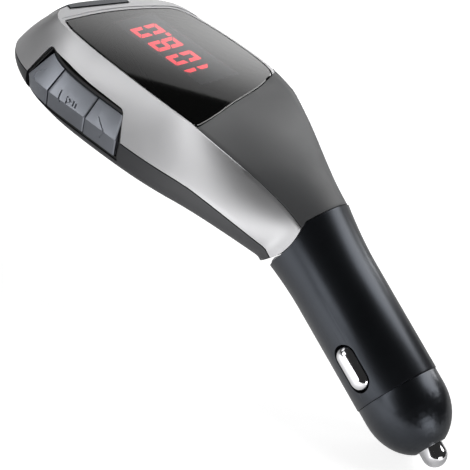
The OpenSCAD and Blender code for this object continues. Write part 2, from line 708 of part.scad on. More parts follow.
// A skin on the crown of the spine, between two depths, drawn in from the creases by a rim
function crown_line(u, rim, depth) = [for (k = [-crown_n:crown_n])
    let(t = k / crown_n, edge = top_edge(u, k < 0 ? -1 : 1), y = (edge - rim) * t)
    bend([u, y, neck_r - depth - sag(u) * pow(y / edge, 2)])];
module spine_skin(rim, outer, inner, gap) {
    near = window_corner(window_near_corner);
    far = window_corner(window_far_corner);
    stations = concat(
        [for (j = [cover_start:mid_n - 1]) front_u * (1 - j / mid_n)],
        [for (j = [0:bend_n]) (bend_l + neck_run) * j / bend_n]);
    difference() {
        loft([for (u = stations) let(a = crown_line(u, rim, outer), b = crown_line(u, rim, inner))
            concat([for (k = [len(a) - 1:-1:0]) a[k]], b)]);
        translate([near[0] + gap, near[1], 0]) rotate([0, 0, atan2(near[0] - far[0], far[1] - near[1])])
            translate([-2 * head_l, -head_l, -head_l]) cube(2 * head_l);
    }
}
module spine_cover() color([0.31, 0.32, 0.32]) in_head() difference() {
    spine_skin(cover_rim, 0, spine_t, seam);
    window_plate(seam, -neck_r, 2 * neck_r);
    translate([-bend_start_x, 0, -axis_z]) beyond_neck();
}

// The row of buttons: half width of the head beside it, its top, and its slanting cross planes
function front_reach(u) = max(0, front_u - u) / (head_l + front_u);
function row_w(u) =
    part_edge(max(u, front_u), -1) * pow(1 - pow(front_reach(u), part_round), 1 / part_round);
function row_top(u) =
    let(t = max(0, (row_front + row_rise_share * button_row_l - u) / (row_rise_share * button_row_l)))
    button_above - parting_drop + row_rise * min(1.2, t * t);
function row_u(u, v) =
    let(t = max(-1, min(1, 2 * (u - row_front) / button_row_l - 1)))
    u - row_lean_share * t * abs(t) * max(0, v + parting_drop);
// Half width of the belly at a depth below the parting line
function row_belly(u, depth) =
    let(fullness = lerp(belly_round, belly_front_round, front_reach(u)))
    row_w(u) * pow(1 - pow(depth / (keel(u) - parting_drop), fullness), 1 / fullness);
// One cross section, grown above and below, from a back plane out to a face whose three corners
// are set in from the shells' width
function row_ring(u, grow, back, insets) =
    let(w = row_w(u), top = row_top(u) + grow, top_u = row_u(u, top),
        foot = -parting_drop - button_below - grow, slope = (top + parting_drop) * frame_lean_share)
    [[top_u, -w + (insets[0] == 0 ? slope : insets[0]), top], [u, -w + insets[1], -parting_drop],
     [u, -row_belly(u, button_below + grow) + insets[2], foot], [u, -back, foot],
     [u, -back, -parting_drop], [top_u, -back, top]];
module row_bar(first, last, n, grow, back, insets) {
    loft([for (k = [0:n]) row_ring(lerp(first, last, k / n), grow, back, insets)]);
}
function row_place(k) = row_front + row_shares[k] * button_row_l;

module button(k) color([0.33, 0.34, 0.36]) in_head()
    row_bar(row_place(k) + button_gap / 2, row_place(k + 1) - button_gap / 2, button_n, 0,
            button_back, [button_inset, -button_out, button_foot_inset]);
module button_previous() button(0);
module button_call() button(1);
module button_next() button(2);

function button_mid(k) = (row_place(k) + row_place(k + 1)) / 2;
module plunger(k) color([0.20, 0.20, 0.21]) in_head()
    translate([button_mid(k), -plunger_end, plunger_v]) rotate([90, 0, 0])
        cylinder(r = plunger_r, h = button_back - plunger_end, $fn = round_fn);
module plunger_previous() plunger(0);
module plunger_call() plunger(1);
module plunger_next() plunger(2);

// The frame that the buttons slide in, inside its own notch in the shells
module button_notch(gap, back, insets) {
    row_bar(row_front - gap, row_back + gap, row_n, gap, back, insets);
}
module button_frame() color([0.05, 0.05, 0.06]) in_head() difference() {
    button_notch(slide_gap + frame_wall, frame_back, [0, frame_inset, frame_foot_inset]);
    button_notch(slide_gap, frame_floor, -notch_out * [1, 2, 1]);
    for (k = [0:2]) translate([button_mid(k), -frame_back + overrun, plunger_v]) rotate([90, 0, 0])
        cylinder(r = plunger_r + slide_gap, h = frame_wall + 2 * overrun, $fn = round_fn);
}

module switches() color([0.14, 0.14, 0.15]) in_head() for (k = [0:2]) translate([button_mid(k), 0, 0]) {
    translate([-switch_l / 2, -switch_y, board_top]) cube([switch_l, switch_w, switch_h]);
    translate([0, -switch_y, plunger_v]) rotate([90, 0, 0])
        cylinder(r = switch_stub_r, h = switch_stub_l, $fn = round_fn);
}

// The block that the panel fills in front of a plane, from its foot to above the head's top
module panel_block(grow, back) {
    translate([panel_back, panel_y, 0]) rotate([0, 0, panel_turn])
        translate([-head_l, -panel_w / 2 - grow, panel_foot - grow])
            cube([head_l + back, panel_w + 2 * grow, neck_d]);
}
module socket_panel() color([0.07, 0.07, 0.08]) in_head() difference() {
    intersection() {
        head_form(-panel_proud);
        panel_block(0, 0);
    }
    intersection() {
        head_form(panel_face_t);
        panel_block(-panel_wall, overrun);
    }
    translate([-head_l - overrun, socket_y, socket_v]) rotate([90, 0, 90])
        linear_extrude(height = head_l / 2)
            square([socket_w + 2 * (socket_wall + seat_gap), socket_h + 2 * (socket_wall + seat_gap)],
                   center = true);
}

// The socket's shell on the board and the tongue inside it
module socket_box(w, h, front, length) {
    translate([front, socket_y - w / 2, socket_v - h / 2]) cube([length, w, h]);
}
module socket_shell() color([0.78, 0.79, 0.80]) in_head() difference() {
    socket_box(socket_w + 2 * socket_wall, socket_h + 2 * socket_wall, socket_front, socket_l);
    socket_box(socket_w, socket_h, socket_front - overrun, socket_l + 2 * overrun);
}
module socket_tongue() color([0.90, 0.90, 0.88]) in_head() {
    block_u = socket_front + socket_l - tongue_block_l;
    socket_box(socket_w - 2 * fit_gap, socket_h - 2 * fit_gap, block_u, tongue_block_l);
    translate([0, 0, socket_h / 2 - tongue_gap - tongue_t / 2])
        socket_box(tongue_w, tongue_t, socket_front + tongue_set, block_u - socket_front);
}

// Places of the screw posts, and what each shell gives and takes there
function post_place(k) = [post_shares[k] * head_l, post_y[k], 0];
module at_posts() {
    for (k = [0:3]) translate(post_place(k)) children();
}

module top_shell() color([0.80, 0.80, 0.81]) difference() {
    in_head() difference() {
        union() {
            difference() {
                intersection() {
                    head_form(0);
                    parting_block(true);
                }
                head_form(shell_wall);
            }
            intersection() {
                head_form(shell_wall / 2);
                union() {
                    window_plate(tray_rim, neck_r - window_t - tray_t, neck_r);
                    at_posts() translate([0, 0, board_top])
                        cylinder(r = post_r, h = neck_r - board_top, $fn = shell_fn);
                }
            }
        }
        window_plate(seam, neck_r - window_t, neck_r + overrun);
        translate([module_u - module_l / 2, module_y - module_w / 2, module_top] - seat_gap * [1, 1, 0])
            translate([0, 0, -module_h])
                cube([module_l + 2 * seat_gap, module_w + 2 * seat_gap, 2 * module_h]);
        spine_skin(cover_rim - seam, -overrun, spine_t + fit_gap, 0);
        button_notch(slide_gap + frame_wall + seat_gap, frame_back - seat_gap, -notch_out * [1, 2, 1]);
        panel_block(seam, seam);
        at_posts() translate([0, 0, board_top - overrun])
            cylinder(r = screw_r + fit_gap, h = screw_reach + slide_gap + overrun, $fn = shell_fn);
    }
    beyond_neck();
}

module bottom_shell() color([0.25, 0.26, 0.28]) difference() {
    union() {
        in_head() difference() {
            intersection() {
                head_form(0);
                parting_block(false);
            }
            head_form(shell_wall);
        }
        in_head() intersection() {
            head_form(shell_wall / 2);
            at_posts() translate([0, 0, -keel_drop])
                cylinder(r = well_r + well_wall, h = keel_drop + board_base, $fn = shell_fn);
        }
        intersection() {
            in_head() head_form(shell_wall / 2);
            in_plug() for (side = [-1, 1]) translate([0, side * (ear_y + ear_t / 2), pivot_s]) {
                rotate([90, 0, 0]) cylinder(r = ear_r, h = ear_t, center = true, $fn = shell_fn);
                translate([neck_r / 2, 0, 0]) cube([neck_r, ear_t, 2 * ear_r], center = true);
            }
        }
    }
    in_head() {
        button_notch(slide_gap + frame_wall + seat_gap, frame_back - seat_gap, -notch_out * [1, 2, 1]);
        panel_block(seam, seam);
        at_posts() {
            translate([0, 0, -2 * keel_drop])
                cylinder(r = well_r, h = 2 * keel_drop + screw_seat, $fn = shell_fn);
            translate([0, 0, -2 * keel_drop])
                cylinder(r = screw_r + seat_gap, h = 3 * keel_drop, $fn = shell_fn);
        }
        translate([mic_u, mic_y, -2 * keel_drop]) cylinder(r = mic_hole_r, h = 2 * keel_drop, $fn = shell_fn);
    }
    in_plug() translate([0, 0, pivot_s]) rotate([90, 0, 0])
        cylinder(r = tilt_pin_r + fit_gap, h = 2 * neck_d, center = true, $fn = shell_fn);
    beyond_neck();
}

module shell_screws() color([0.55, 0.56, 0.58]) in_head() at_posts() {
    translate([0, 0, screw_seat - screw_head_t])
        cylinder(r = screw_head_r, h = screw_head_t, $fn = round_fn);
    translate([0, 0, screw_seat - screw_head_t / 2])
        cylinder(r = screw_r, h = screw_head_t / 2 + screw_grip + board_t + screw_reach, $fn = round_fn);
}

module display_window() color([0.16, 0.17, 0.19]) in_head() window_plate(0, neck_r - window_t, neck_r);

module display_module() color([0.08, 0.08, 0.09]) in_head() {
    translate([module_u - module_l / 2, module_y - module_w / 2, module_top - module_h])
        cube([module_l, module_w, module_h]);
    for (end = [-1, 1]) for (k = [0:module_pin_n - 1])
        translate([module_u + end * (module_l / 2 - module_pin_edge),
                   module_y + module_w * ((k + 0.5) / module_pin_n - 0.5), board_top])
            cylinder(r = module_pin_r, h = module_top - module_h - board_top, $fn = round_fn);
}

// A bar with pointed ends, the form of a lit segment, lying along x
module segment(length) {
    e = segment_w / 2;
    polygon([[-length / 2, 0], [-length / 2 + e, e], [length / 2 - e, e],
             [length / 2, 0], [length / 2 - e, -e], [-length / 2 + e, -e]]);
}
module digit(lit) {
    across = digit_w - segment_w;
    along = (digit_h - segment_w) / 2;
    short = segment_w * 0.85;
    for (k = [0:6]) if (lit[k] == 1) {
        level = k == 0 ? 1 : k == 3 ? -1 : k == 6 ? 0 : k == 1 || k == 5 ? 0.5 : -0.5;
        side = k == 1 || k == 2 ? 1 : k == 4 || k == 5 ? -1 : 0;
        translate([side * across / 2 + level * along * digit_slant, level * along])
            rotate([0, 0, side == 0 ? 0 : 90 - atan(digit_slant)])
                segment(side == 0 ? across + segment_w - short : along + segment_w - short);
    }
}
module display_digits() color([1, 0.33, 0.38]) in_head()
    translate([module_u, module_y, module_top]) rotate([0, 0, 180]) linear_extrude(height = digit_t) {
        for (k = [0:3]) translate([(k - 1.5) * digit_pitch, 0]) digit(digits_lit[k]);
        translate([digit_pitch, -digit_h / 2 + segment_w / 2]) square(segment_w, center = true);
    }

module main_board() color([0.10, 0.32, 0.20]) in_head() difference() {
    translate([0, 0, board_base]) linear_extrude(height = board_t) {
        polygon([
            [board_front, -switch_y + board_corner], [board_front + board_corner, -switch_y],
            [board_back - board_corner / 2, -switch_y], [board_back, -switch_y + board_corner / 2],
            [board_back, board_far - board_corner / 2], [board_back - board_corner / 2, board_far],
            [board_front + board_corner, board_far], [board_front, board_far - board_corner]]);
        translate([board_front - board_tongue_l, socket_y - board_tongue_w / 2])
            square([2 * board_tongue_l, board_tongue_w]);
    }
    at_posts() translate([0, 0, board_base - overrun])
        cylinder(r = screw_r + seat_gap, h = board_t + 2 * overrun, $fn = round_fn);
}

module radio_chips() color([0.06, 0.06, 0.07]) in_head() for (s = chip_shares)
    translate([s[0] * head_l - chip_l / 2, s[1] * near_top_w - chip_w / 2, board_top])
        cube([chip_l, chip_w, chip_h]);

module shield_can() color([0.75, 0.76, 0.77]) in_head()
    translate([can_u - can_l / 2, can_y - can_w / 2, board_top]) difference() {
        cube([can_l, can_w, can_h]);
        translate([can_wall, can_wall, -overrun])
            cube([can_l - 2 * can_wall, can_w - 2 * can_wall, can_h - can_wall + overrun]);
    }

module capacitors() color([0.20, 0.24, 0.40]) in_head() for (s = cap_shares)
    translate([s[0] * head_l, s[1] * near_top_w, board_top]) cylinder(r = cap_r, h = cap_h, $fn = round_fn);

module microphone() color([0.70, 0.71, 0.72]) in_head() translate([mic_u, mic_y, board_top])
    cylinder(r = mic_r, h = mic_h, $fn = round_fn);

module antenna_wire() color([0.65, 0.66, 0.68]) in_head() {
    rod([antenna_back, antenna_y, board_top], [antenna_back, antenna_y, board_top + antenna_rise], antenna_r);
    rod([antenna_back, antenna_y, board_top + antenna_rise],
        [antenna_front, antenna_y, board_top + antenna_rise], antenna_r);
}

barrel();
nose_cap();
nose_contact();
nose_spring();
fuse_glass();
fuse_caps();
fuse_tube();
side_contact_near();
side_contact_far();
side_spring_near();
side_spring_far();
plug_board();
plug_coil();
knuckle();
tilt_pin();
friction_washers();
top_shell();
bottom_shell();
spine_cover();
display_window();
display_module();
display_digits();
main_board();
radio_chips();
shield_can();
capacitors();
microphone();
antenna_wire();
button_previous();
button_call();
button_next();
button_frame();
switches();
plunger_previous();
plunger_call();
plunger_next();
socket_panel();
socket_shell();
socket_tongue();
shell_screws();
supply_leads();
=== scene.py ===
import math

import bpy
from mathutils import Matrix, Vector
from mathutils.bvhtree import BVHTree


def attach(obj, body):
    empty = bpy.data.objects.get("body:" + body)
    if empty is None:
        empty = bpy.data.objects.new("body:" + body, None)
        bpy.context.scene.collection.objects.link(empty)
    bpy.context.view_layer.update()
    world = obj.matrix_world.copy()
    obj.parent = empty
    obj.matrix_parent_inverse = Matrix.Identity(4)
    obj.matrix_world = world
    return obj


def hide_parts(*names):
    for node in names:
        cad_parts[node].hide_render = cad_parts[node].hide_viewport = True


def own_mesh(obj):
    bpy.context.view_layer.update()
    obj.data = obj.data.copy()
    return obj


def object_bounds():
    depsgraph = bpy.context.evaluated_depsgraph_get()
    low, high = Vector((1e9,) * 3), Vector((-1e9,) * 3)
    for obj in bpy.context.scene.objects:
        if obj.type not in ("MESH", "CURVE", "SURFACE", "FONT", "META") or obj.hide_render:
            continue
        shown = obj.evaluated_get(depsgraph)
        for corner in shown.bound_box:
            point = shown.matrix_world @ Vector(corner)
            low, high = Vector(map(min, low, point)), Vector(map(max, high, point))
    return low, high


bl_info = {
    "name": "Car FM transmitter",
    "version": (1, 0, 0),
    "blender": (4, 5, 0),
    "location": "3D View > Sidebar > Transmitter",
    "description": "Dresses the packed car FM transmitter with its lacquer, glass, buttons and stage",
    "category": "Object",
}

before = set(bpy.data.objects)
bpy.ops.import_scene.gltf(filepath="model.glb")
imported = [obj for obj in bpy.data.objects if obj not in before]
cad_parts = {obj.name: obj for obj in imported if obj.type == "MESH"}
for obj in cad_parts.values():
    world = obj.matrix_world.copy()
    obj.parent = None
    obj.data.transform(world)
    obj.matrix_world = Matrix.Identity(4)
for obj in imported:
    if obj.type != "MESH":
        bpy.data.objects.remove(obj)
cad_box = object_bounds()

# All lengths are millimetres, and settle() brings a finished piece to metres. u runs along the head, as if it
# were straight, from the start of its bend, and v up from its axis; s runs along the plug from the nose seam.
# Pairs under -1 and 1 are for the near and the far side
NECK = math.radians(29)
BEND_R = 55.4
BEND_L = BEND_R * NECK
BARREL_L, BARREL_R, BORE_R, FLARE_L = 43.2, 10.45, 8.95, 15
NECK_R, NECK_RUN = 11.7, 4.914
HEAD_L = 63.0
HALF_W = {-1: 24.2, 1: 23.6}
TOP_W = {-1: 20.9, 1: 21.9}
TOP_L = 52.0
PARTING, PARTING_GAP = 1.8, 0.32
KEEL = 14.0
FRONT_U = -35.28
SKEW_Y = TOP_W[-1] * 0.62
LEAN = 0.17
# Shares of the head's and the bend's length at which the top's edges start and stop to draw in
TOP_BEND = {-1: (0.07, 1.15), 1: (0.27, 1.05)}
TOP_TAPER, FAR_TAPER_FRONT, PART_BEND = 0.105, 0.38, 0.27
CREASE, CREASE_SAG = 0.8, 0.4
KEEL_FRONT, NECK_KEEL = 0.1, 0.74
FLANK_OUT, FLANK_OUT_FRONT, FLANK_DOWN = 0.72, 0.58, 0.42
SHELL_WALL = 1.6
SEAM = 0.2
WINDOW_T = 1.2
TRAY_RIM, TRAY_DEPTH = 1.2, 2.4
STEP_W, STEP_T = 1.0, 0.12
MODULE_ROOM = (-41.4525, -3.5552, 3.95), (-11.1525, 10.7448, 16)
BOARD_TOP = -3.0
BOARD_BASE = -4.2
SHOULDER_S, CHIN_S, PIVOT_S = -39.9, -42.0, -53.1
TONGUE_R = 13.0
PIN_HOLE_R = 1.55
EAR_R, EAR_T, EAR_Y = 4.2, 3.0, 6.85
SIDE_SLOT_R, SIDE_SLOT_HALF, SIDE_SLOT_DEEP, SIDE_SLOT_S = 3.05, 3.05, 6.4, -8.85
HEAD_PLACE = Matrix.Translation((-BARREL_L * math.cos(NECK) - BEND_R * math.sin(NECK), 0,
                                 BARREL_L * math.sin(NECK) + BEND_R * (1 - math.cos(NECK))))
PLUG_PLACE = Matrix.Rotation(math.pi / 2 + NECK, 4, "Y")
PIVOT_PLACE = PLUG_PLACE @ Matrix.Translation((0, 0, PIVOT_S))
ACROSS = Matrix.Rotation(math.pi / 2, 4, "X")
WINDOW_SHARES = [
    (-0.729, -0.641), (-0.730, -0.761), (-0.698, -0.801), (-0.656, -0.842), (-0.521, -0.890),
    (-0.362, -0.923), (-0.190, -0.945), (0.000, -0.952), (0.032, -0.952), (0.029, -0.856),
    (0.011, -0.555), (-0.030, -0.086), (-0.065, 0.455), (-0.098, 0.742), (-0.121, 0.928),
    (-0.206, 1.005), (-0.387, 1.019), (-0.540, 0.971), (-0.635, 0.904), (-0.671, 0.612),
    (-0.703, 0.249), (-0.725, -0.191)]
WINDOW_NEAR_CORNER, WINDOW_FAR_CORNER = WINDOW_SHARES[8], WINDOW_SHARES[14]
ROW_FRONT, ROW_BACK, ROW_L = -46.394, -14.994, 31.4
ROW_ABOVE, ROW_RISE, ROW_RISE_L, ROW_LEAN = 3.7, 2.2, 0.67 * ROW_L, 0.4
ROW_SHARES = (0, 0.25, 0.66, 1)
ROW_BELOW = 4.4
NOTCH_GAP, NOTCH_BACK = 1.0, 17.9
BUTTON_BACK, BUTTON_GAP = 19.2, 0.35
BUTTON_OUT = 0.4
TOP_LOWERED = 0.8
PANEL_W, PANEL_FOOT = 18.1, NECK_R * 0.55
PANEL_AT = (-HEAD_L * 0.767, -TOP_W[-1] * 0.059, 0)
SOCKET_Y, SOCKET_V = -0.301, -0.15
POSTS = [(-43.218, -9.05), (-40.131, 14.4068), (-6.993, -14.0), (-8.001, 14.0068)]
POST_R, WELL_R, WELL_WALL, SCREW_SEAT = 2.5, 2.25, 0.9, -7.6
THREAD_R, THREAD_TOP, SHANK_R = 0.95, 3.25, 1.05
MIC_HOLE, MIC_HOLE_R = (-37.989, -11.0, 0), 0.6
CHIP_SHARES = ((-0.278, -0.230), (-0.268, 0.480), (-0.520, 0.700))
# Powers of the rounded outlines: top edge, parting line, and the belly behind and in front
TOP_N, PART_N, BELLY_POWER, BELLY_FRONT_POWER = 3.3, 2.35, 3.1, 2.2

# The photograph: its size in picture points, the camera's angles, and where it shows the origin
PICTURE, FOCAL, SENSOR = 470, 2400, 36
CAMERA_TURN = (31.61, 30.48, 19.2)
ORIGIN_AT = (397.3, 389.9)
POINTS_PER_MM, CAMERA_FAR = 4.32, 555.6
TOP_Z = 39.59
WHITE = (1, 1, 1, 1)


def look():
    return bpy.context.scene.transmitter_look


# ---------------------------------------------------------------- form of the head

def fall(t):
    """From 1 to 0 with no corner at either end."""
    return 1.0 if t <= 0 else 0.0 if t >= 1 else math.cos(math.pi / 2 * t) ** 2


def quarter(s, n):
    """A quarter of a rounded square: its two sides at a share of the way round."""
    a = math.pi / 2 * s
    return max(0.0, math.cos(a)) ** (2 / n), max(0.0, math.sin(a)) ** (2 / n)


def lerp(a, b, t):
    return a + (b - a) * t


def curve3(a, c, b, t):
    return a * (1 - t) ** 2 + 2 * c * t * (1 - t) + b * t * t


def bend(q):
    """Takes a point of the straight head round the neck's bend."""
    u, y, v = q
    if u <= 0:
        return (u, y, v)
    r = BEND_R + v
    if u <= BEND_L:
        a = u / BEND_R
        return (r * math.sin(a), y, r * math.cos(a) - BEND_R)
    e = u - BEND_L
    return (r * math.sin(NECK) + e * math.cos(NECK), y, r * math.cos(NECK) - BEND_R - e * math.sin(NECK))


def top_edge(u, side):
    """Half the width of the top, at a place along the head."""
    full, (front, back) = TOP_W[side], TOP_BEND[side]
    start, stop = -HEAD_L * front, BEND_L * back
    neck = NECK_R * CREASE
    taper_start = start if side < 0 else -HEAD_L * FAR_TAPER_FRONT
    taper = max(0.0, TOP_TAPER * full * (taper_start - u) / (HEAD_L * 0.5))
    return neck + (full - taper - neck) * fall((u - start) / (stop - start))


def part_edge(u, side):
    """Half the width at the parting line."""
    start = -HEAD_L * PART_BEND
    t = max(0.0, (u - start) / (BEND_L - start))
    return NECK_R + (HALF_W[side] - NECK_R) * max(0.0, 1 - t ** 2.6)


def sag(u):
    """How far the top's edges sink below its middle, round the bend."""
    return 0.0 if u <= 0 else NECK_R * CREASE_SAG * math.sin(math.pi / 2 * min(1, u / BEND_L))


def keel(u):
    """Depth of the belly's middle."""
    front = -HEAD_L * KEEL_FRONT
    t = max(0.0, (front - u) / (HEAD_L + front))
    b = max(0.0, min(1.0, (u + HEAD_L / 2) / (BEND_L + HEAD_L / 2)))
    return PARTING + (KEEL * lerp(1, NECK_KEEL, b) - PARTING) * max(0.0, 1 - t * t) ** 0.5


FRONT_N, MID_N, BEND_N = 34, 12, 36
CROWN_N, FLANK_N, BELLY_N = 8, 12, 16


def ring_side(i, side, inset):
    """Half of one section of the head, from the middle of its top over a flank to the keel."""
    s = 1 - i / FRONT_N if i <= FRONT_N else 0.0
    if i <= FRONT_N:
        u = FRONT_U
    elif i <= FRONT_N + MID_N:
        u = FRONT_U * (1 - (i - FRONT_N) / MID_N)
    else:
        u = (BEND_L + NECK_RUN) * (i - FRONT_N - MID_N) / BEND_N
    qa, qw = quarter(s, TOP_N), quarter(s, PART_N)
    top_y = (top_edge(u, side) - inset) * qa[0]
    part_y = (part_edge(u, side) - inset) * qw[0]
    top_u = u - (TOP_L - inset + FRONT_U) * qa[1]
    part_u = u - (HEAD_L - inset + FRONT_U) * qw[1]
    top_lean = LEAN * (side * top_y + SKEW_Y) * qa[1]
    part_lean = LEAN * (side * part_y + SKEW_Y) * qw[1]
    top_v = NECK_R - inset
    edge_v = top_v - sag(u)
    out = lerp(FLANK_OUT, FLANK_OUT_FRONT, qw[1])
    full = lerp(BELLY_POWER, BELLY_FRONT_POWER, qw[1])
    belly_v = -keel(part_u) + inset
    a, b = top_u + top_lean, part_u + part_lean
    ring = [(top_u + lerp(LEAN * SKEW_Y * qa[1], top_lean, k / CROWN_N), side * top_y * k / CROWN_N,
             top_v - sag(u) * (k / CROWN_N) ** 2) for k in range(CROWN_N + 1)]
    ring += [(curve3(a, lerp(a, b, out), b, t), side * curve3(top_y, lerp(top_y, part_y, out), part_y, t),
              curve3(edge_v, lerp(edge_v, -PARTING, FLANK_DOWN), -PARTING, t))
             for t in [k / FLANK_N for k in range(1, FLANK_N + 1)]]
    for k in range(1, BELLY_N + 1):
        q = quarter(k / BELLY_N, full)
        ring.append((part_u + lerp(LEAN * SKEW_Y * qw[1], part_lean, q[0]), side * part_y * q[0],
                     -PARTING + (belly_v + PARTING) * q[1]))
    return ring


# ---------------------------------------------------------------- working in edit mode

def pick(ob):
    if bpy.context.object and bpy.context.object.mode != "OBJECT":
        bpy.ops.object.mode_set(mode="OBJECT")
    bpy.ops.object.select_all(action="DESELECT")
    ob.select_set(True)
    bpy.context.view_layer.objects.active = ob
    return ob


def merged(ob, reach=1e-4):
    pick(ob)
    bpy.ops.object.mode_set(mode="EDIT")
    bpy.ops.mesh.select_all(action="SELECT")
    bpy.ops.mesh.remove_doubles(threshold=reach)
    bpy.ops.mesh.dissolve_degenerate(threshold=1e-6)
    bpy.ops.mesh.normals_make_consistent(inside=False)
    bpy.ops.object.mode_set(mode="OBJECT")
    return ob


def mesh_of(name, points, faces, place):
    mesh = bpy.data.meshes.new(name)
    mesh.from_pydata(points, [], faces)
    ob = bpy.data.objects.new(name, mesh)
    bpy.context.scene.collection.objects.link(ob)
    mesh.transform(place)
    return merged(ob)


def skin(rings):
    """The points of closed rings, and the faces that join each ring to the next."""
    m, n = len(rings[0]), len(rings)
    faces = [(i * m + k, (i + 1) * m + k, (i + 1) * m + (k + 1) % m, i * m + (k + 1) % m)
             for i in range(n - 1) for k in range(m)]
    return [q for ring in rings for q in ring], faces


def loft(name, rings, place=HEAD_PLACE, ends=None):
    m, n = len(rings[0]), len(rings)
    points, faces = skin(rings)
    for face in ends or [tuple(range(m))]:
        faces.append(tuple(face))
        faces.append(tuple((n - 1) * m + k for k in reversed(face)))
    return mesh_of(name, points, faces, place)


def head_form(inset):
    """The outer form of the head, or one that lies an inset within it."""
    rings = []
    for i in range(FRONT_N + MID_N + BEND_N + 1):
        near, far = ring_side(i, -1, inset), ring_side(i, 1, inset)
        rings.append([bend(q) for q in near + far[-2:0:-1]])
    m, n = len(rings[0]), len(rings)
    points, faces = skin(rings)
    faces.append(tuple((n - 1) * m + k for k in reversed(range(m))))
    return mesh_of("head form", points, faces, HEAD_PLACE)


def block(low, high, place=None):
    low, high = Vector(low), Vector(high)
    bpy.ops.mesh.primitive_cube_add(size=1, location=(low + high) / 2)
    ob = bpy.context.object
    ob.scale = high - low
    bpy.ops.object.transform_apply(location=True, rotation=True, scale=True)
    if place is not None:
        ob.data.transform(place)
    return ob


def drum(radius, low, high, centre=(0, 0, 0), place=None, sides=64, turn=None):
    bpy.ops.mesh.primitive_cone_add(vertices=sides, radius1=radius, radius2=radius, depth=high - low,
                                    location=(0, 0, (low + high) / 2))
    ob = bpy.context.object
    bpy.ops.object.transform_apply(location=True, rotation=True, scale=True)
    if turn is not None:
        ob.data.transform(turn)
    ob.data.transform(Matrix.Translation(centre))
    if place is not None:
        ob.data.transform(place)
    return ob


def combine(ob, other, how):
    """Joins, cuts or intersects a piece with another one, which is used up."""
    pick(ob)
    joint = ob.modifiers.new("joint", "BOOLEAN")
    joint.operation = how
    joint.object = other
    joint.solver = "MANIFOLD"
    bpy.ops.object.modifier_apply(modifier=joint.name)
    bpy.data.objects.remove(other)
    if not len(ob.data.polygons):
        raise RuntimeError(f"nothing is left of {ob.name} after a {how.lower()}")
    return ob


def cut(ob, *others):
    for other in others:
        combine(ob, other, "DIFFERENCE")
    return ob


def copy_of(ob):
    new = ob.copy()
    new.data = ob.data.copy()
    bpy.context.scene.collection.objects.link(new)
    return new


def sweep(name, points, radius, sides, place):
    """A round wire through points."""
    points = [Vector(p) for p in points]
    last = len(points) - 1
    rings, normal = [], None
    for i, p in enumerate(points):
        d = (points[min(i + 1, last)] - points[max(i - 1, 0)]).normalized()
        if normal is None:
            normal = d.orthogonal().normalized()
        normal = (normal - normal.dot(d) * d).normalized()
        cross = d.cross(normal)
        rings.append([tuple(p + radius * (math.cos(w) * normal + math.sin(w) * cross))
                      for w in [2 * math.pi * k / sides for k in range(sides)]])
    return loft(name, rings, place)


def softened(ob, width, segments=2, angle=40):
    """Rounds the edges that are sharper than an angle."""
    pick(ob)
    edge = ob.modifiers.new("edges", "BEVEL")
    edge.width = width
    edge.segments = segments
    edge.limit_method = "ANGLE"
    edge.angle_limit = math.radians(angle)
    edge.use_clamp_overlap = True
    bpy.ops.object.modifier_apply(modifier=edge.name)
    return ob


def settle(ob, node, ending, body, slot, *finishes, angle=32):
    """Brings a piece from millimetres to metres, shades and dresses it, and seats it in its node's place."""
    ob.name = ob.data.name = node + "_" + ending
    ob.data.transform(Matrix.Scale(0.001, 4))
    pick(ob)
    bpy.ops.object.shade_smooth_by_angle(angle=math.radians(angle))
    ob.data.materials.clear()
    for name in finishes:
        ob.data.materials.append(finish(name))
    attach(ob, body)
    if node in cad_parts:
        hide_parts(node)
    return ob


def cad_copy(node):
    """The CAD node's own mesh, merged and in millimetres, ready to be finished."""
    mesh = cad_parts[node].data.copy()
    ob = bpy.data.objects.new(node + " copy", mesh)
    bpy.context.scene.collection.objects.link(ob)
    mesh.transform(Matrix.Scale(1000, 4))
    return merged(ob, 1e-3)


def dress(node, material):
    """Gives a CAD node that is shown as it is its material."""
    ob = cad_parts[node]
    if not ob.material_slots:
        raise RuntimeError(f"{node} has no material slot")
    for slot in ob.material_slots:
        slot.material = material


# ---------------------------------------------------------------- finishes

def add_node(tree, kind, inputs=None, **settings):
    """Adds a shader node; an input given as another node's socket is linked to it."""
    node = tree.nodes.new("ShaderNode" + kind)
    for name, value in settings.items():
        setattr(node, name, value)
    feed(tree, node, inputs or {})
    return node


def feed(tree, node, inputs):
    """Sets or links a node's inputs."""
    for key, value in inputs.items():
        if isinstance(value, bpy.types.NodeSocket):
            tree.links.new(value, node.inputs[key])
        else:
            node.inputs[key].default_value = value


def ramp(tree, value, span, levels, kind="LINEAR"):
    """Maps a span of values on to two levels."""
    return add_node(tree, "MapRange", {"Value": value, "From Min": span[0], "From Max": span[1],
                                       "To Min": levels[0], "To Max": levels[1]},
                    interpolation_type=kind).outputs["Result"]


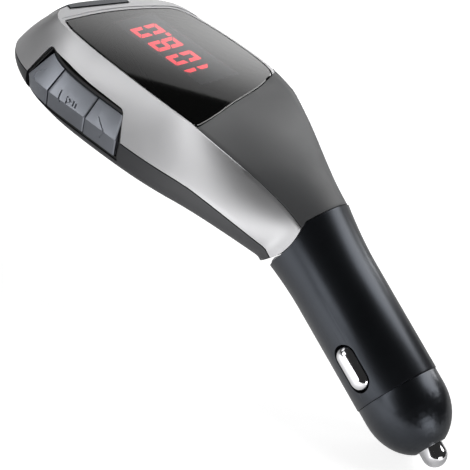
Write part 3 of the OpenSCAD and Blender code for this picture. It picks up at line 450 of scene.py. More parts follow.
# Each finish: its colour, or the look's name for it; roughness; spread of the colour; size of its clouds and
# of its grain in millimetres; height of the grain; and what isn't as in build_finish
FINISHES = {
    "silver lacquer": ("silver", 0.42, 0.05, 18, 0.09, 0.05,
                       dict(metal=0.85, coat=0.15, coat_rough=0.15, rough_spread=0.03, specks=0.35)),
    "dark grey lacquer": ("dark", 0.42, 0.08, 16, 0.12, 0.08,
                          dict(metal=0.1, coat=0.2, coat_rough=0.25, rough_spread=0.04, specks=0.3)),
    "spine satin": ("spine", 0.55, 0.06, 12, 0.16, 0.12, {}),
    "polished black": ("gloss", 0.30, 0.12, 20, 0.3, 0.02,
                       dict(rough_spread=0.03, ior=1.58, sheen_tint=(0.80, 0.87, 1.0))),
    "button satin": ("button", 0.38, 0.06, 8, 0.14, 0.10, dict(metal=0.7, coat=0.1, coat_rough=0.25)),
    "smoked acrylic": ("glass", 0.02, 0.03, 30, 3, 0.002, dict(rough_spread=0.0, ior=1.49, see_through=1.0)),
    "lit segments": ("digits", 0.4, 0.06, 2, 0.3, 0.02, dict(glows=True)),
    "engraved mark": ((0.02, 0.022, 0.025), 0.55, 0.1, 3, 0.1, 0.1, {}),
    "black moulding": ((0.008, 0.008, 0.009), 0.6, 0.15, 9, 0.25, 0.12, {}),
    "plunger moulding": ((0.05, 0.05, 0.052), 0.45, 0.12, 2, 0.2, 0.15, {}),
    "switch moulding": ((0.03, 0.03, 0.032), 0.5, 0.15, 3, 0.2, 0.2, {}),
    "white moulding": ((0.8, 0.8, 0.78), 0.42, 0.04, 4, 0.3, 0.1, {}),
    "ivory moulding": ((0.72, 0.70, 0.64), 0.45, 0.05, 7, 0.3, 0.15, {}),
    "light grey moulding": ((0.48, 0.49, 0.51), 0.4, 0.05, 7, 0.3, 0.12, {}),
    "washer moulding": ((0.70, 0.68, 0.62), 0.5, 0.06, 3, 0.3, 0.2, {}),
    "chip resin": ((0.018, 0.018, 0.02), 0.55, 0.2, 2, 0.15, 0.2, {}),
    "ferrite drum": ((0.05, 0.048, 0.05), 0.6, 0.2, 2, 0.3, 0.3, {}),
    "capacitor sleeve": ((0.05, 0.07, 0.2), 0.3, 0.08, 4, 0.3, 0.08, {}),
    "red insulation": ((0.42, 0.03, 0.02), 0.4, 0.1, 3, 0.4, 0.15, dict(coat=0.2, coat_rough=0.3)),
    "solder mask": ((0.03, 0.17, 0.09), 0.35, 0.18, 3, 0.5, 0.25, dict(coat=0.4, coat_rough=0.2)),
    "clear glass": ((0.9, 0.93, 0.94), 0.04, 0.02, 6, 1, 0.01, dict(rough_spread=0.02, see_through=1.0)),
    "bright nickel": ((0.78, 0.78, 0.80), 0.10, 0.04, 5, 0.35, 0.05,
                      dict(metal=1.0, rough_spread=0.05, stretch=(1, 1, 6))),
    "turned steel": ((0.5, 0.5, 0.52), 0.28, 0.08, 6, 0.12, 0.2, dict(metal=1.0, stretch=(1, 8, 1))),
    "spring bronze": ((0.62, 0.43, 0.2), 0.25, 0.12, 2, 0.2, 0.15, dict(metal=1.0, stretch=(1, 6, 1))),
    "plated cap": ((0.66, 0.66, 0.67), 0.22, 0.08, 3, 0.2, 0.15, dict(metal=1.0, stretch=(1, 6, 1))),
    "socket plate": ((0.62, 0.63, 0.64), 0.24, 0.06, 4, 0.25, 0.12, dict(metal=1.0, stretch=(5, 1, 1))),
    "tinned can": ((0.6, 0.6, 0.61), 0.3, 0.1, 5, 0.3, 0.2, dict(metal=1.0, stretch=(6, 1, 1))),
    "tinned wire": ((0.6, 0.6, 0.61), 0.25, 0.08, 3, 0.2, 0.1, dict(metal=1.0)),
    "tinned legs": ((0.62, 0.62, 0.63), 0.25, 0.08, 1.5, 0.1, 0.15, dict(metal=1.0)),
    "pale floor": ((0.62, 0.62, 0.62), 0.7, 0.01, 300, 2, 0.02, {}),
}


def finish(name):
    """A finish of the table, built at its first use."""
    *numbers, others = FINISHES[name]
    return bpy.data.materials.get(name) or build_finish(name, *numbers, **others)


def build_finish(name, colour, rough, spread, patch, grain, bump, metal=0.0, coat=0.0, coat_rough=0.06,
                 rough_spread=0.06, ior=1.5, stretch=None, see_through=0.0, glows=False, specks=0.5,
                 sheen_tint=(1, 1, 1)):
    """A lacquer, plastic or metal: clouded colour and roughness, fine grain, optional brushing and flakes."""
    if isinstance(colour, str):
        colour = getattr(look(), colour)
    mat = bpy.data.materials.new(name)
    mat.use_nodes = True
    tree = mat.node_tree
    place = grained = add_node(tree, "TexCoord").outputs["Object"]
    if stretch:
        grained = add_node(tree, "Mapping", {"Vector": place, "Scale": stretch}).outputs["Vector"]

    def noise(vector, size, detail):
        node = add_node(tree, "TexNoise", {"Vector": vector, "Scale": 1000 / size, "Detail": detail})
        return node.outputs["Fac"]

    usual = (0.3, 0.7)  # between these lies nearly all of a noise
    cloud, fine = noise(place, patch, 3.0), noise(grained, grain, 4.0)
    shade = add_node(tree, "Mix", {0: 1 - specks, 2: fine, 3: cloud}, data_type="FLOAT")
    tone = add_node(tree, "Mix", {
        0: ramp(tree, shade.outputs[0], usual, (0, 1)),
        6: (*[c * (1 - spread) for c in colour[:3]], 1),
        7: (*[min(1, c * (1 + spread)) for c in colour[:3]], 1)}, data_type="RGBA")
    relief = add_node(tree, "Bump", {"Strength": bump, "Distance": grain * 0.00005, "Height": fine})
    shader = tree.nodes["Principled BSDF"]
    feed(tree, shader, {
        "Base Color": tone.outputs[2], "Metallic": metal, "IOR": ior, "Transmission Weight": see_through,
        "Roughness": ramp(tree, cloud, usual, (max(0.02, rough - rough_spread), rough + rough_spread)),
        "Coat Weight": coat, "Coat Roughness": coat_rough, "Specular Tint": (*sheen_tint, 1),
        "Normal": relief.outputs["Normal"]})
    if glows:
        feed(tree, shader, {"Emission Color": (*colour, 1), "Emission Strength": look().digit_level})
    return mat


def paint_by_place(ob, outer, reach=0.03):
    """Gives slot 0 to the faces that lie on the outer form and slot 1 to those that a cut laid open."""
    tree = BVHTree.FromPolygons([v.co.copy() for v in outer.data.vertices],
                                [tuple(p.vertices) for p in outer.data.polygons])
    while len(ob.data.materials) < 2:
        ob.data.materials.append(finish("black moulding"))
    for face in ob.data.polygons:
        found = tree.find_nearest(face.center)
        on_skin = found[0] is not None and found[3] < reach and abs(found[1].dot(face.normal)) > 0.7
        face.material_index = 0 if on_skin else 1


# ---------------------------------------------------------------- parts of the head

def window_outline(gap):
    """The window's outline, rounded by cutting its corners three times."""
    points = [Vector((a * HEAD_L, b * TOP_W[-1])) for a, b in WINDOW_SHARES]
    for _ in range(3):
        nxt = []
        for i, p in enumerate(points):
            q = points[(i + 1) % len(points)]
            nxt += [p.lerp(q, 0.25), p.lerp(q, 0.75)]
        points = nxt
    mid = Vector((-0.35 * HEAD_L, 0))
    return [p + gap * (p - mid).normalized() for p in points]


def window_plate(gap, low, high):
    line = window_outline(gap)
    return loft("plate", [[(p.x, p.y, v) for p in line] for v in (low, high)])


def neck_drop(u):
    """How much lower the parting line runs towards the neck."""
    return 1.7 * min(1.0, max(0.0, (u - 0.25 * BEND_L) / (0.75 * BEND_L + 2)))


def parting_block(up):
    """All that lies above or below the parting line, with the gap between the shells left free."""
    w = 25.2
    last = BEND_L + NECK_RUN + 1
    rings = []
    for u in [-HEAD_L - 1, 0] + [last * k / BEND_N for k in range(1, BEND_N + 1)]:
        seam = -PARTING - neck_drop(u)
        high, low = (NECK_R + 1, seam) if up else (seam - PARTING_GAP, -KEEL - 1)
        rings.append([bend((u, w, high)), bend((u, -w, high)), bend((u, -w, low)), bend((u, w, low))])
    return loft("parting", rings)


def beyond_neck():
    """The room of the barrel, cut out of the shells: the saddle over the tongue and the notch below it."""
    reach = 4 * NECK_R
    ob = block((-reach, -reach, 0), (reach, reach, reach))
    cut(ob, drum(TONGUE_R, -70, 70, sides=192, turn=ACROSS),
        block((-reach - 1, -reach, -1), (0, reach, -BARREL_L - PIVOT_S)),
        block((-1, -reach, -1), (reach, reach, CHIN_S - PIVOT_S)))
    ob.data.transform(PIVOT_PLACE)
    return ob


def crown_line(u, rim, depth):
    """A line across the crown at a depth below it, ending a rim away from its edges."""
    n = 12
    line = []
    for k in range(-n, n + 1):
        edge = top_edge(u, -1 if k < 0 else 1)
        y = (edge - rim) * k / n
        line.append(bend((u, y, NECK_R - depth - sag(u) * (y / edge) ** 2)))
    return line


def spine_skin(rim, outer, inner, gap):
    """The crown behind the window, between two depths below it."""
    near, far = (Vector((a * HEAD_L, b * TOP_W[-1])) for a, b in (WINDOW_NEAR_CORNER, WINDOW_FAR_CORNER))
    stations = [FRONT_U * (1 - j / 5) for j in (3, 3.5, 4, 4.5)]
    stations += [(BEND_L + NECK_RUN) * j / BEND_N for j in range(BEND_N + 1)]
    ob = loft("skin", [crown_line(u, rim, outer)[::-1] + crown_line(u, rim, inner) for u in stations])
    turn = math.atan2(near.x - far.x, far.y - near.y)
    ahead = block((-2 * HEAD_L, -HEAD_L, -HEAD_L), (0, HEAD_L, HEAD_L))
    ahead.data.transform(HEAD_PLACE @ Matrix.Translation((near.x + gap, near.y, 0))
                         @ Matrix.Rotation(turn, 4, "Z"))
    return cut(ob, ahead)


def front_reach(u):
    return max(0.0, FRONT_U - u) / (HEAD_L + FRONT_U)


def row_w(u):
    return part_edge(max(u, FRONT_U), -1) * (1 - front_reach(u) ** PART_N) ** (1 / PART_N)


def row_top(u):
    t = max(0.0, (ROW_FRONT + ROW_RISE_L - u) / ROW_RISE_L)
    return ROW_ABOVE + ROW_RISE * min(1.2, t * t)


def row_u(u, v):
    """Where an upright of the key row stands at a height: the row's ends lean outwards."""
    t = max(-1.0, min(1.0, 2 * (u - ROW_FRONT) / ROW_L - 1))
    return u - ROW_LEAN * t * abs(t) * max(0.0, v + PARTING)


def row_belly(u, depth):
    full = lerp(BELLY_POWER, BELLY_FRONT_POWER, front_reach(u))
    return row_w(u) * (1 - (depth / (keel(u) - PARTING)) ** full) ** (1 / full)


def row_ring(u, grow, back, insets, lift=0.0):
    """One section of the key row; insets are those of its upper edge, its fold and its foot."""
    w, top = row_w(u), row_top(u) + grow + lift
    top_u = row_u(u, top)
    foot = -PARTING - ROW_BELOW - grow
    return [(top_u, -w + insets[0], top), (u, -w + insets[1], -PARTING),
            (u, -row_belly(u, ROW_BELOW + grow) + insets[2], foot), (u, -back, foot), (u, -back, -PARTING),
            (top_u, -back, top)]


def notch():
    """The opening for the keys, whose upper edge stands higher over them than at the front corner."""
    n, rings = 24, []
    for k in range(n + 1):
        t = min(1.0, 3 * k / n)
        lift = 0.9 * t * t * (3 - 2 * t) * (1 - 0.35 * k / n)
        rings.append(row_ring(lerp(ROW_FRONT - NOTCH_GAP, ROW_BACK + NOTCH_GAP, k / n), NOTCH_GAP, NOTCH_BACK,
                              (-3, -6, -3), lift))
    ob = loft("row", rings, ends=[(0, 1, 4, 5), (1, 2, 3, 4)])
    for end in (rings[0], rings[-1]):
        round_edge(ob, HEAD_PLACE @ Vector(end[0]), HEAD_PLACE @ Vector(end[5]), 1.2)
    return ob


def row_place(k):
    return ROW_FRONT + ROW_SHARES[k] * ROW_L


def panel_block(grow, back):
    """The room of the front panel, turned square to the slanting front end."""
    half = PANEL_W / 2 + grow
    ob = block((-HEAD_L, -half, -PANEL_FOOT - grow), (back, half, 2 * NECK_R - PANEL_FOOT))
    ob.data.transform(HEAD_PLACE @ Matrix.Translation(PANEL_AT) @ Matrix.Rotation(-math.atan(LEAN), 4, "Z"))
    return ob


def post_bars(radius, low, high):
    return [drum(radius, low, high, (u, y, 0), HEAD_PLACE, sides=48) for u, y in POSTS]


def make_shell(up, inner_parts, cuts, node, slot, name):
    """Half of the head's skin: inner parts are joined on within it, and then the cuts are made in order."""
    outer, inner = head_form(0), head_form(SHELL_WALL / 2)
    ob = combine(copy_of(outer), parting_block(up), "INTERSECT")
    cut(ob, head_form(SHELL_WALL))
    for part in inner_parts:
        combine(ob, combine(part, copy_of(inner), "INTERSECT"), "UNION")
    bpy.data.objects.remove(inner)
    cut(ob, *cuts)
    paint_by_place(ob, outer)
    bpy.data.objects.remove(outer)
    return settle(ob, node, "lacquered", "head", slot, name, "black moulding")


def make_top_shell():
    tray = window_plate(TRAY_RIM, NECK_R - TRAY_DEPTH, NECK_R)
    cuts = [window_plate(SEAM, NECK_R - WINDOW_T, NECK_R + 1),
            window_plate(SEAM + STEP_W, NECK_R - STEP_T, NECK_R + 1), block(*MODULE_ROOM, HEAD_PLACE),
            spine_skin(0.2, -1, 0.85, 0), notch(), panel_block(SEAM, SEAM),
            *post_bars(THREAD_R, BOARD_TOP - 1, THREAD_TOP), beyond_neck()]
    return make_shell(True, [tray, *post_bars(POST_R, BOARD_TOP, NECK_R)], cuts,
                      "top_shell", "silver_shell", "silver lacquer")


def make_bottom_shell():
    parts = post_bars(WELL_R + WELL_WALL, -KEEL, BOARD_BASE)
    for side in (-1, 1):
        ear = drum(EAR_R, -EAR_T / 2, EAR_T / 2, turn=ACROSS)
        combine(ear, block((0, -EAR_T / 2, -EAR_R), (NECK_R, EAR_T / 2, EAR_R)), "UNION")
        ear.data.transform(PLUG_PLACE @ Matrix.Translation((0, side * EAR_Y, PIVOT_S)))
        parts.append(ear)
    cuts = [notch(), panel_block(SEAM, SEAM), *post_bars(WELL_R, -2 * KEEL, SCREW_SEAT),
            *post_bars(SHANK_R, -2 * KEEL, KEEL),
            drum(MIC_HOLE_R, -2 * KEEL, 0, MIC_HOLE, HEAD_PLACE, sides=24),
            drum(PIN_HOLE_R, -30, 30, place=PIVOT_PLACE, sides=48, turn=ACROSS), beyond_neck()]
    return make_shell(False, parts, cuts, "bottom_shell", "dark_shell", "dark grey lacquer")


def make_spine_cover():
    ob = spine_skin(0.4, 0, 0.8, SEAM)
    cut(ob, window_plate(SEAM, -NECK_R, 2 * NECK_R), beyond_neck())
    softened(ob, 0.12, 2, 50)
    return settle(ob, "spine_cover", "satin", "head", "spine", "spine satin")


def make_window():
    edge = look().glass_edge
    steps = ((0, WINDOW_T), (0, edge), (edge * 0.35, edge * 0.3), (edge, 0))
    ob = loft("glass", [[(p.x, p.y, NECK_R - depth) for p in window_outline(-inset)]
                        for inset, depth in steps])
    return settle(ob, "display_window", "smoked", "head", "window", "smoked acrylic", angle=8)


def make_digits():
    """Mitred bars of a seven-segment display, one digit beside the next from the neck to the front."""
    corner, pitch = Vector((-14.066, 6.56)), Vector((-6.475, 0.408))
    across, up = Vector((-4.052, 0.028)), Vector((0.044, -9.103))
    wide, high = 4.05, 9.1
    back, front = 10.11, 10.24
    t, g = look().bar_t, look().bar_gap
    tx, ty, gx, gy = t / wide, t / high, g / wide, g / high
    tip, inner = 2.6 * gy, 2.2 * gy
    bars = {
        "a": [(gx, 1), (1 - gx, 1), (1 - tx - gx, 1 - ty), (tx + gx, 1 - ty)],
        "b": [(1, 1 - gy), (1, 0.5 + tip), (1 - tx, 0.5 + ty / 2 + inner), (1 - tx, 1 - ty - gy)],
        "c": [(1, gy), (1 - tx, ty + gy), (1 - tx, 0.5 - ty / 2 - inner), (1, 0.5 - tip)],
        "g": [(gx * 2, 0.5), (tx + gx, 0.5 + ty / 2), (1 - tx - gx, 0.5 + ty / 2), (1 - gx * 2, 0.5),
              (1 - tx - gx, 0.5 - ty / 2), (tx + gx, 0.5 - ty / 2)],
    }
    bars["d"] = [(x, 1 - y) for x, y in reversed(bars["a"])]
    bars["e"] = [(1 - x, y) for x, y in reversed(bars["c"])]
    bars["f"] = [(1 - x, y) for x, y in reversed(bars["b"])]
    points, faces = [], []

    def bar(outline):
        base, n = len(points), len(outline)
        points.extend((q.x, q.y, v) for v in (back, front) for q in outline)
        faces.append(tuple(base + i for i in range(n)))
        faces.append(tuple(base + n + i for i in reversed(range(n))))
        faces.extend((base + i, base + (i + 1) % n, base + n + (i + 1) % n, base + n + i) for i in range(n))

    for k, lit in enumerate(("bc", "abcdef", "abcdefg", "abcdef")):
        for name in lit:
            bar([corner + k * pitch + x * across + y * up for x, y in bars[name]])
    dot = Vector((-32.3, 7.3))
    bar([dot + Vector((t * 0.5 * a, t * 0.5 * b)) for a, b in ((-1, -1), (1, -1), (1, 1), (-1, 1))])
    ob = mesh_of("digits", points, faces, HEAD_PLACE)
    return settle(ob, "display_digits", "lit", "head", "digit_red", "lit segments", angle=20)


def make_panel():
    proud, depth, wall = 0.25, 2, 1.2
    ob = combine(head_form(-proud), panel_block(0, 0), "INTERSECT")
    cut(ob, combine(head_form(depth), panel_block(-wall, 1), "INTERSECT"))
    half_w, half_h = 6.7, 3.0
    hole = block((-HEAD_L - 1, SOCKET_Y - half_w, SOCKET_V - half_h),
                 (-32.5, SOCKET_Y + half_w, SOCKET_V + half_h), HEAD_PLACE)
    cut(ob, softened(hole, 0.5, 3))
    return settle(ob, "socket_panel", "gloss", "head", "black_gloss", "polished black")


# ---------------------------------------------------------------- buttons

def on_facet(u, t):
    """A point on the row's face: t runs from 0 at the fold to 1 at the top edge, and to -1 at the foot."""
    w, top = row_w(u), row_top(u) - TOP_LOWERED
    if t < 0:
        return (u, lerp(-w - BUTTON_OUT, -row_belly(u, ROW_BELOW), -t), -PARTING + ROW_BELOW * t)
    v = lerp(-PARTING, top, t)
    return (row_u(u, v), lerp(-w - BUTTON_OUT, -w + 3, t), v)


def stroke(points, radius):
    fine = []
    for a, b in zip(points, points[1:]):
        steps = max(4, int(math.dist(a, b) * 4))
        fine += [(lerp(a[0], b[0], k / steps), lerp(a[1], b[1], k / steps)) for k in range(steps)]
    fine.append(points[-1])
    return sweep("stroke", [on_facet(u, t) for u, t in fine], radius, 8, HEAD_PLACE)


# Marks on the buttons: an arrow, a handset beside play and pause, an arrow; places along and up the face
MARKS = {
    "previous": [[(-43.0, 0.55), (-44.8, 0.20), (-44.3, 0.06), (-43.0, -0.05), (-40.8, -0.30)]],
    "call": [[(-35.3, 0.36), (-35.1, 0.20), (-34.7, 0.02), (-34.2, -0.12), (-33.5, -0.06)],
             [(-32.9, 0.30), (-32.3, 0.03), (-31.3, 0.20), (-32.9, 0.30)],
             [(-30.7, 0.30), (-30.3, 0.08)], [(-29.8, 0.28), (-29.4, 0.06)]],
    "next": [[(-22.6, 0.40), (-19.0, -0.03), (-20.2, -0.50)]],
}


def round_edge(ob, a, b, radius):
    """Bevels the one edge between two places."""
    pick(ob)
    places = [v.co for v in ob.data.vertices]
    for v in ob.data.vertices:
        v.select = False
    for f in ob.data.polygons:
        f.select = False
    for e in ob.data.edges:
        p, q = (places[i] for i in e.vertices)
        e.select = min((p - a).length + (q - b).length, (p - b).length + (q - a).length) < 0.01
    if not any(e.select for e in ob.data.edges):
        raise RuntimeError(f"{ob.name} has no edge to round there")
    bpy.ops.object.mode_set(mode="EDIT")
    bpy.ops.mesh.select_mode(type="EDGE")
    bpy.ops.mesh.bevel(offset=radius, segments=5, affect="EDGES")
    bpy.ops.object.mode_set(mode="OBJECT")


def make_button(k, body):
    first, last = row_place(k) + BUTTON_GAP / 2, row_place(k + 1) - BUTTON_GAP / 2
    n, rings = 14, []
    for j in range(n + 1):
        ring = row_ring(lerp(first, last, j / n), 0, BUTTON_BACK, (3, -BUTTON_OUT, 0))
        for m in (0, 5):
            ring[m] = (ring[m][0], ring[m][1], ring[m][2] - TOP_LOWERED)
        rings.append(ring)
    ob = loft("button", rings, ends=[(0, 1, 4, 5), (1, 2, 3, 4)])
    if k != 1:
        end = rings[0 if k == 0 else -1]
        round_edge(ob, HEAD_PLACE @ Vector(end[0]), HEAD_PLACE @ Vector(end[5]), 0.9)
    softened(ob, look().button_edge, 3, 48)
    plain = copy_of(ob)
    for line in MARKS[body]:
        combine(ob, stroke(line, look().mark_r * (1.5 if body == "call" else 1)), "DIFFERENCE")
    paint_by_place(ob, plain, 0.004)
    bpy.data.objects.remove(plain)
    return settle(ob, "button_" + body, "satin", body, "button_grey", "button satin", "engraved mark")


# ---------------------------------------------------------------- plug

def lathe(name, profile):
    """Spins a closed profile of (radius, height) about the plug's axis."""
    sides, n = 128, len(profile)
    points, faces = [], []
    for j in range(sides):
        w = 2 * math.pi * j / sides
        points += [(r * math.cos(w), r * math.sin(w), z) for r, z in profile]
        a, b = j * n, (j + 1) % sides * n
        faces += [(a + k, a + (k + 1) % n, b + (k + 1) % n, b + k) for k in range(n)]
    return mesh_of(name, points, faces, PLUG_PLACE)


def make_barrel():
    top = -BARREL_L + SEAM
    profile = [(BORE_R, 0.0), (BORE_R, top)]
    profile += [(BARREL_R + (NECK_R - BARREL_R) * (1 - t) ** 1.8, top + FLARE_L * t)
                for t in [k / 20 for k in range(21)]]
    profile += [(BARREL_R, -0.35), (BARREL_R - 0.1, -0.1), (BARREL_R - 0.35, 0.0)]
    ob = lathe("barrel", profile)
    cut(ob, drum(TONGUE_R + SEAM, -50, 50, place=PIVOT_PLACE, sides=256, turn=ACROSS),
        block((0, -2 * NECK_R, -BARREL_L - 1), (2 * NECK_R, 2 * NECK_R, SHOULDER_S), PLUG_PLACE))
    r, half, deep = SIDE_SLOT_R, SIDE_SLOT_HALF, SIDE_SLOT_DEEP
    for side in (-1, 1):
        slot = drum(r, -deep, deep, (0, half, 0))
        combine(slot, drum(r, -deep, deep, (0, -half, 0)), "UNION")
        combine(slot, block((-r, -half, -deep), (r, half, deep)), "UNION")
        slot.data.transform(PLUG_PLACE @ Matrix.Translation((0, side * BARREL_R, SIDE_SLOT_S)) @ ACROSS)
        cut(ob, slot)
    softened(ob, 0.16, 2, 55)
    return settle(ob, "barrel", "polished", "plug", "black_gloss", "polished black")


def make_smooth(node, ending, body, slot, name, bevel=0.0, angle=35):
    """Finishes a CAD node's own mesh, with its edges rounded where a bevel is given."""
    ob = cad_copy(node)
    if bevel:
        softened(ob, bevel, 2, 50)
    return settle(ob, node, ending, body, slot, name, angle=angle)


def make_nose():
    make_smooth("nose_cap", "polished", "plug", "black_gloss", "polished black", 0.12, 32)
    make_smooth("nose_contact", "nickel", "centre_contact", "contact_metal", "bright nickel", angle=40)


def make_spring():
    """The wound spring behind the fuse, in the room that fuse and nose leave it."""
    turns, coil_r, wire_r = look().spring_turns, 2.2, 0.3
    guide_l, dome_l, rim_r, nose_r = 3.7, 12.4, 3.9, 10.25
    nose_end = guide_l + dome_l * math.sqrt(1 - (rim_r / nose_r) ** 2)
    bore_l, flange_t, fuse_l, room = 4, 1.4, 20, 7
    start = nose_end - bore_l - flange_t - fuse_l - room
    rest_l, travel = 6.9, 3.0
    points = []
    for k in range(turns * 24 + 1):
        t = k / (turns * 24)
        rise = min(1, max(0, (t * turns - 0.8) / (turns - 1.6)))
        points.append((coil_r * math.cos(2 * math.pi * turns * t), coil_r * math.sin(2 * math.pi * turns * t),
                       start + 0.32 + (rest_l - 0.5) * rise))
    ob = sweep("spring", points, wire_r, 10, PLUG_PLACE)
    settle(ob, "nose_spring", "wound", "plug", "spring_steel", "turned steel", angle=60)
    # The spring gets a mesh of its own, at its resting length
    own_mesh(ob)


def make_leaves():
    """The leaf behind each side contact, which on the real plug gives way as the contact is pushed in; here
    each gets a mesh of its own.
    """
    for name in ("near", "far"):
        ob = make_smooth("side_spring_" + name, "bronze", "plug", "leaf_metal", "spring bronze", angle=32)
        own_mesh(ob)


def make_screws():
    """The screws, each with a cross slot in its head."""
    ob = cad_copy("shell_screws")
    for u, y in POSTS:
        for turn in (0, math.pi / 2):
            slot = block((-1.15, -0.22, -9.3), (1.15, 0.22, -8.2))
            slot.data.transform(HEAD_PLACE @ Matrix.Translation((u, y, 0))
                                @ Matrix.Rotation(turn + 0.4, 4, "Z"))
            cut(ob, slot)
    settle(ob, "shell_screws", "cross", "head", "pin_steel", "turned steel")


def make_chips():
    make_smooth("radio_chips", "resin", "head", "display_case", "chip resin", 0.12, 32)
    half_w, pitch = 2.5, 1
    leg = block((-0.2, -0.35, 0), (0.2, 0.0, 0.16))
    legs = None
    for a, b in CHIP_SHARES:
        for side in (-1, 1):
            for k in range(6):
                new = copy_of(leg)
                foot = (a * HEAD_L - half_w + k * pitch, b * TOP_W[-1] + side * half_w, BOARD_TOP)
                new.data.transform(HEAD_PLACE @ Matrix.Translation(foot)
                                   @ Matrix.Rotation(0 if side < 0 else math.pi, 4, "Z"))
                legs = new if legs is None else combine(legs, new, "UNION")
    bpy.data.objects.remove(leg)
    settle(legs, "chip_legs", "tinned", "head", "tinned", "tinned legs")


def dress_inside():
    for node, name in (("main_board", "solder mask"), ("plug_board", "solder mask"),
                       ("display_module", "black moulding"), ("button_frame", "black moulding"),
                       ("switches", "switch moulding"), ("shield_can", "tinned can"),
                       ("socket_tongue", "white moulding")):
        dress(node, finish(name))
    make_leaves()


# ---------------------------------------------------------------- stage

def camera_axes():
    """The camera's right, its up, and the way from the object back to it."""
    az, el, roll = (math.radians(a) for a in CAMERA_TURN)
    back = Vector((math.sin(az) * math.cos(el), -math.cos(az) * math.cos(el), math.sin(el)))
    level = Vector((math.cos(az), math.sin(az), 0))
    upright = back.cross(level)
    right = math.cos(roll) * level + math.sin(roll) * upright
    up = -math.sin(roll) * level + math.cos(roll) * upright
    return right, up, back


def camera_place():
    right, up, back = camera_axes()
    middle = PICTURE / 2
    t = Vector(((ORIGIN_AT[0] - middle) / POINTS_PER_MM, (middle - ORIGIN_AT[1]) / POINTS_PER_MM,
                -CAMERA_FAR))
    return -(right * t.x + up * t.y + back * t.z)


def seen_in_top(px, py, reach):
    """The place, a reach away, that the level top mirrors at a point of the picture."""
    right, up, back = camera_axes()
    eye, middle = camera_place(), PICTURE / 2
    ray = (right * (px - middle) / FOCAL - up * (py - middle) / FOCAL - back).normalized()
    hit = eye + ray * ((TOP_Z - eye.z) / ray.z)
    return hit + Vector((ray.x, ray.y, -ray.z)) * reach


def add_light(name, centre, aim, size, level, edge=None):
    """A soft light: level is the brightness that a mirror would show, and edge the way its width runs."""
    centre, aim = Vector(centre), Vector(aim)
    back = (centre - aim).normalized()
    across = edge or Vector((0, 0, 1)).cross(back)
    across = (across - across.dot(back) * back).normalized()
    up = back.cross(across)
    lamp = bpy.data.lights.new(name, "AREA")
    lamp.shape = "RECTANGLE"
    lamp.size, lamp.size_y = size[0] / 1000, size[1] / 1000
    lamp.energy = level * math.pi * lamp.size * lamp.size_y
    ob = bpy.data.objects.new(name, lamp)
    ob.matrix_world = Matrix.Translation(centre / 1000) @ Matrix((across, up, back)).transposed().to_4x4()
    ob.visible_camera = False
    bpy.context.scene.collection.objects.link(ob)
    return ob


def shade_card(lamp, across, width, inward, depth):
    """Lets a card's brightness change over the middle of its width, and inwards from its upper edge."""
    lamp.use_nodes = True
    tree = lamp.node_tree
    split = add_node(tree, "SeparateXYZ", {0: add_node(tree, "NewGeometry").outputs["Parametric"]})
    sideways = ramp(tree, split.outputs["X"], (0.5 - width / 2, 0.5 + width / 2), across, "SMOOTHSTEP")
    inwards = ramp(tree, split.outputs["Y"], (0.0, depth), inward, "SMOOTHSTEP")
    both = add_node(tree, "Math", {0: sideways, 1: inwards}, operation="MULTIPLY")
    feed(tree, tree.nodes["Emission"], {"Strength": both.outputs[0]})


def add_camera():
    cam = bpy.data.cameras.new("photo view")
    cam.lens, cam.sensor_width = FOCAL / PICTURE * SENSOR, SENSOR
    cam.clip_start, cam.clip_end = 0.05, 20
    ob = bpy.data.objects.new("photo view", cam)
    ob.matrix_world = Matrix.Translation(camera_place() / 1000) @ Matrix(camera_axes()).transposed().to_4x4()
    bpy.context.scene.collection.objects.link(ob)
    bpy.context.scene.camera = ob


def add_floor():
    bpy.ops.object.select_all(action="DESELECT")
    bpy.ops.mesh.primitive_grid_add(x_subdivisions=8, y_subdivisions=8, size=4, location=(0, 0, 0))
    floor = bpy.context.object
    floor.name = "floor"
    floor.data.transform(Matrix.Translation((-0.05, 0, min(corner[2] for corner in cad_box) - 0.0005)))
    floor.data.materials.append(floor_paint())


def floor_paint():
    """Pale and matt, nearly white to the camera, and with two painted pools of light that glow to mirrors
    only.
    """
    mat = finish("pale floor")
    tree = mat.node_tree
    shader = tree.nodes["Principled BSDF"]
    feed(tree, shader, {"Specular IOR Level": 0.1})
    path = add_node(tree, "LightPath")
    place = add_node(tree, "TexCoord").outputs["Object"]
    # Far from the object, where little lamp light falls, the floor makes up for it to the camera
    away = add_node(tree, "VectorMath", {0: place}, operation="LENGTH").outputs["Value"]
    fade = ramp(tree, away, (0.25, 1.3), (look().floor_level, 1.0), "SMOOTHSTEP")
    total = add_node(tree, "Math", {0: path.outputs["Is Camera Ray"], 1: fade}, operation="MULTIPLY")
    # Two pools of light are painted on the floor, glowing to mirrors only: a long one on the near side and
    # one ahead of the nose
    for x, y, narrow, inner, outer, level in ((-0.015, -0.10, 1.0, 0.03, 0.12, 1.9),
                                              (0.16, -0.01, 0.8, 0.02, 0.11, 2.4)):
        seen = add_node(tree, "Mapping", {"Vector": place, "Scale": (narrow, 1, 0)}).outputs["Vector"]
        gap = add_node(tree, "VectorMath", {0: seen, 1: (x * narrow, y, 0)}, operation="DISTANCE")
        painted_light_pool = ramp(tree, gap.outputs["Value"], (inner, outer), (level, 0.0), "SMOOTHSTEP")
        total = add_node(tree, "Math", {0: path.outputs["Is Glossy Ray"], 1: painted_light_pool, 2: total.outputs[0]},
                         operation="MULTIPLY_ADD")
    white = add_node(tree, "Emission", {"Color": WHITE, "Strength": total.outputs[0]})
    both = add_node(tree, "AddShader", {0: shader.outputs[0], 1: white.outputs[0]})
    feed(tree, tree.nodes["Material Output"], {"Surface": both.outputs[0]})
    return mat


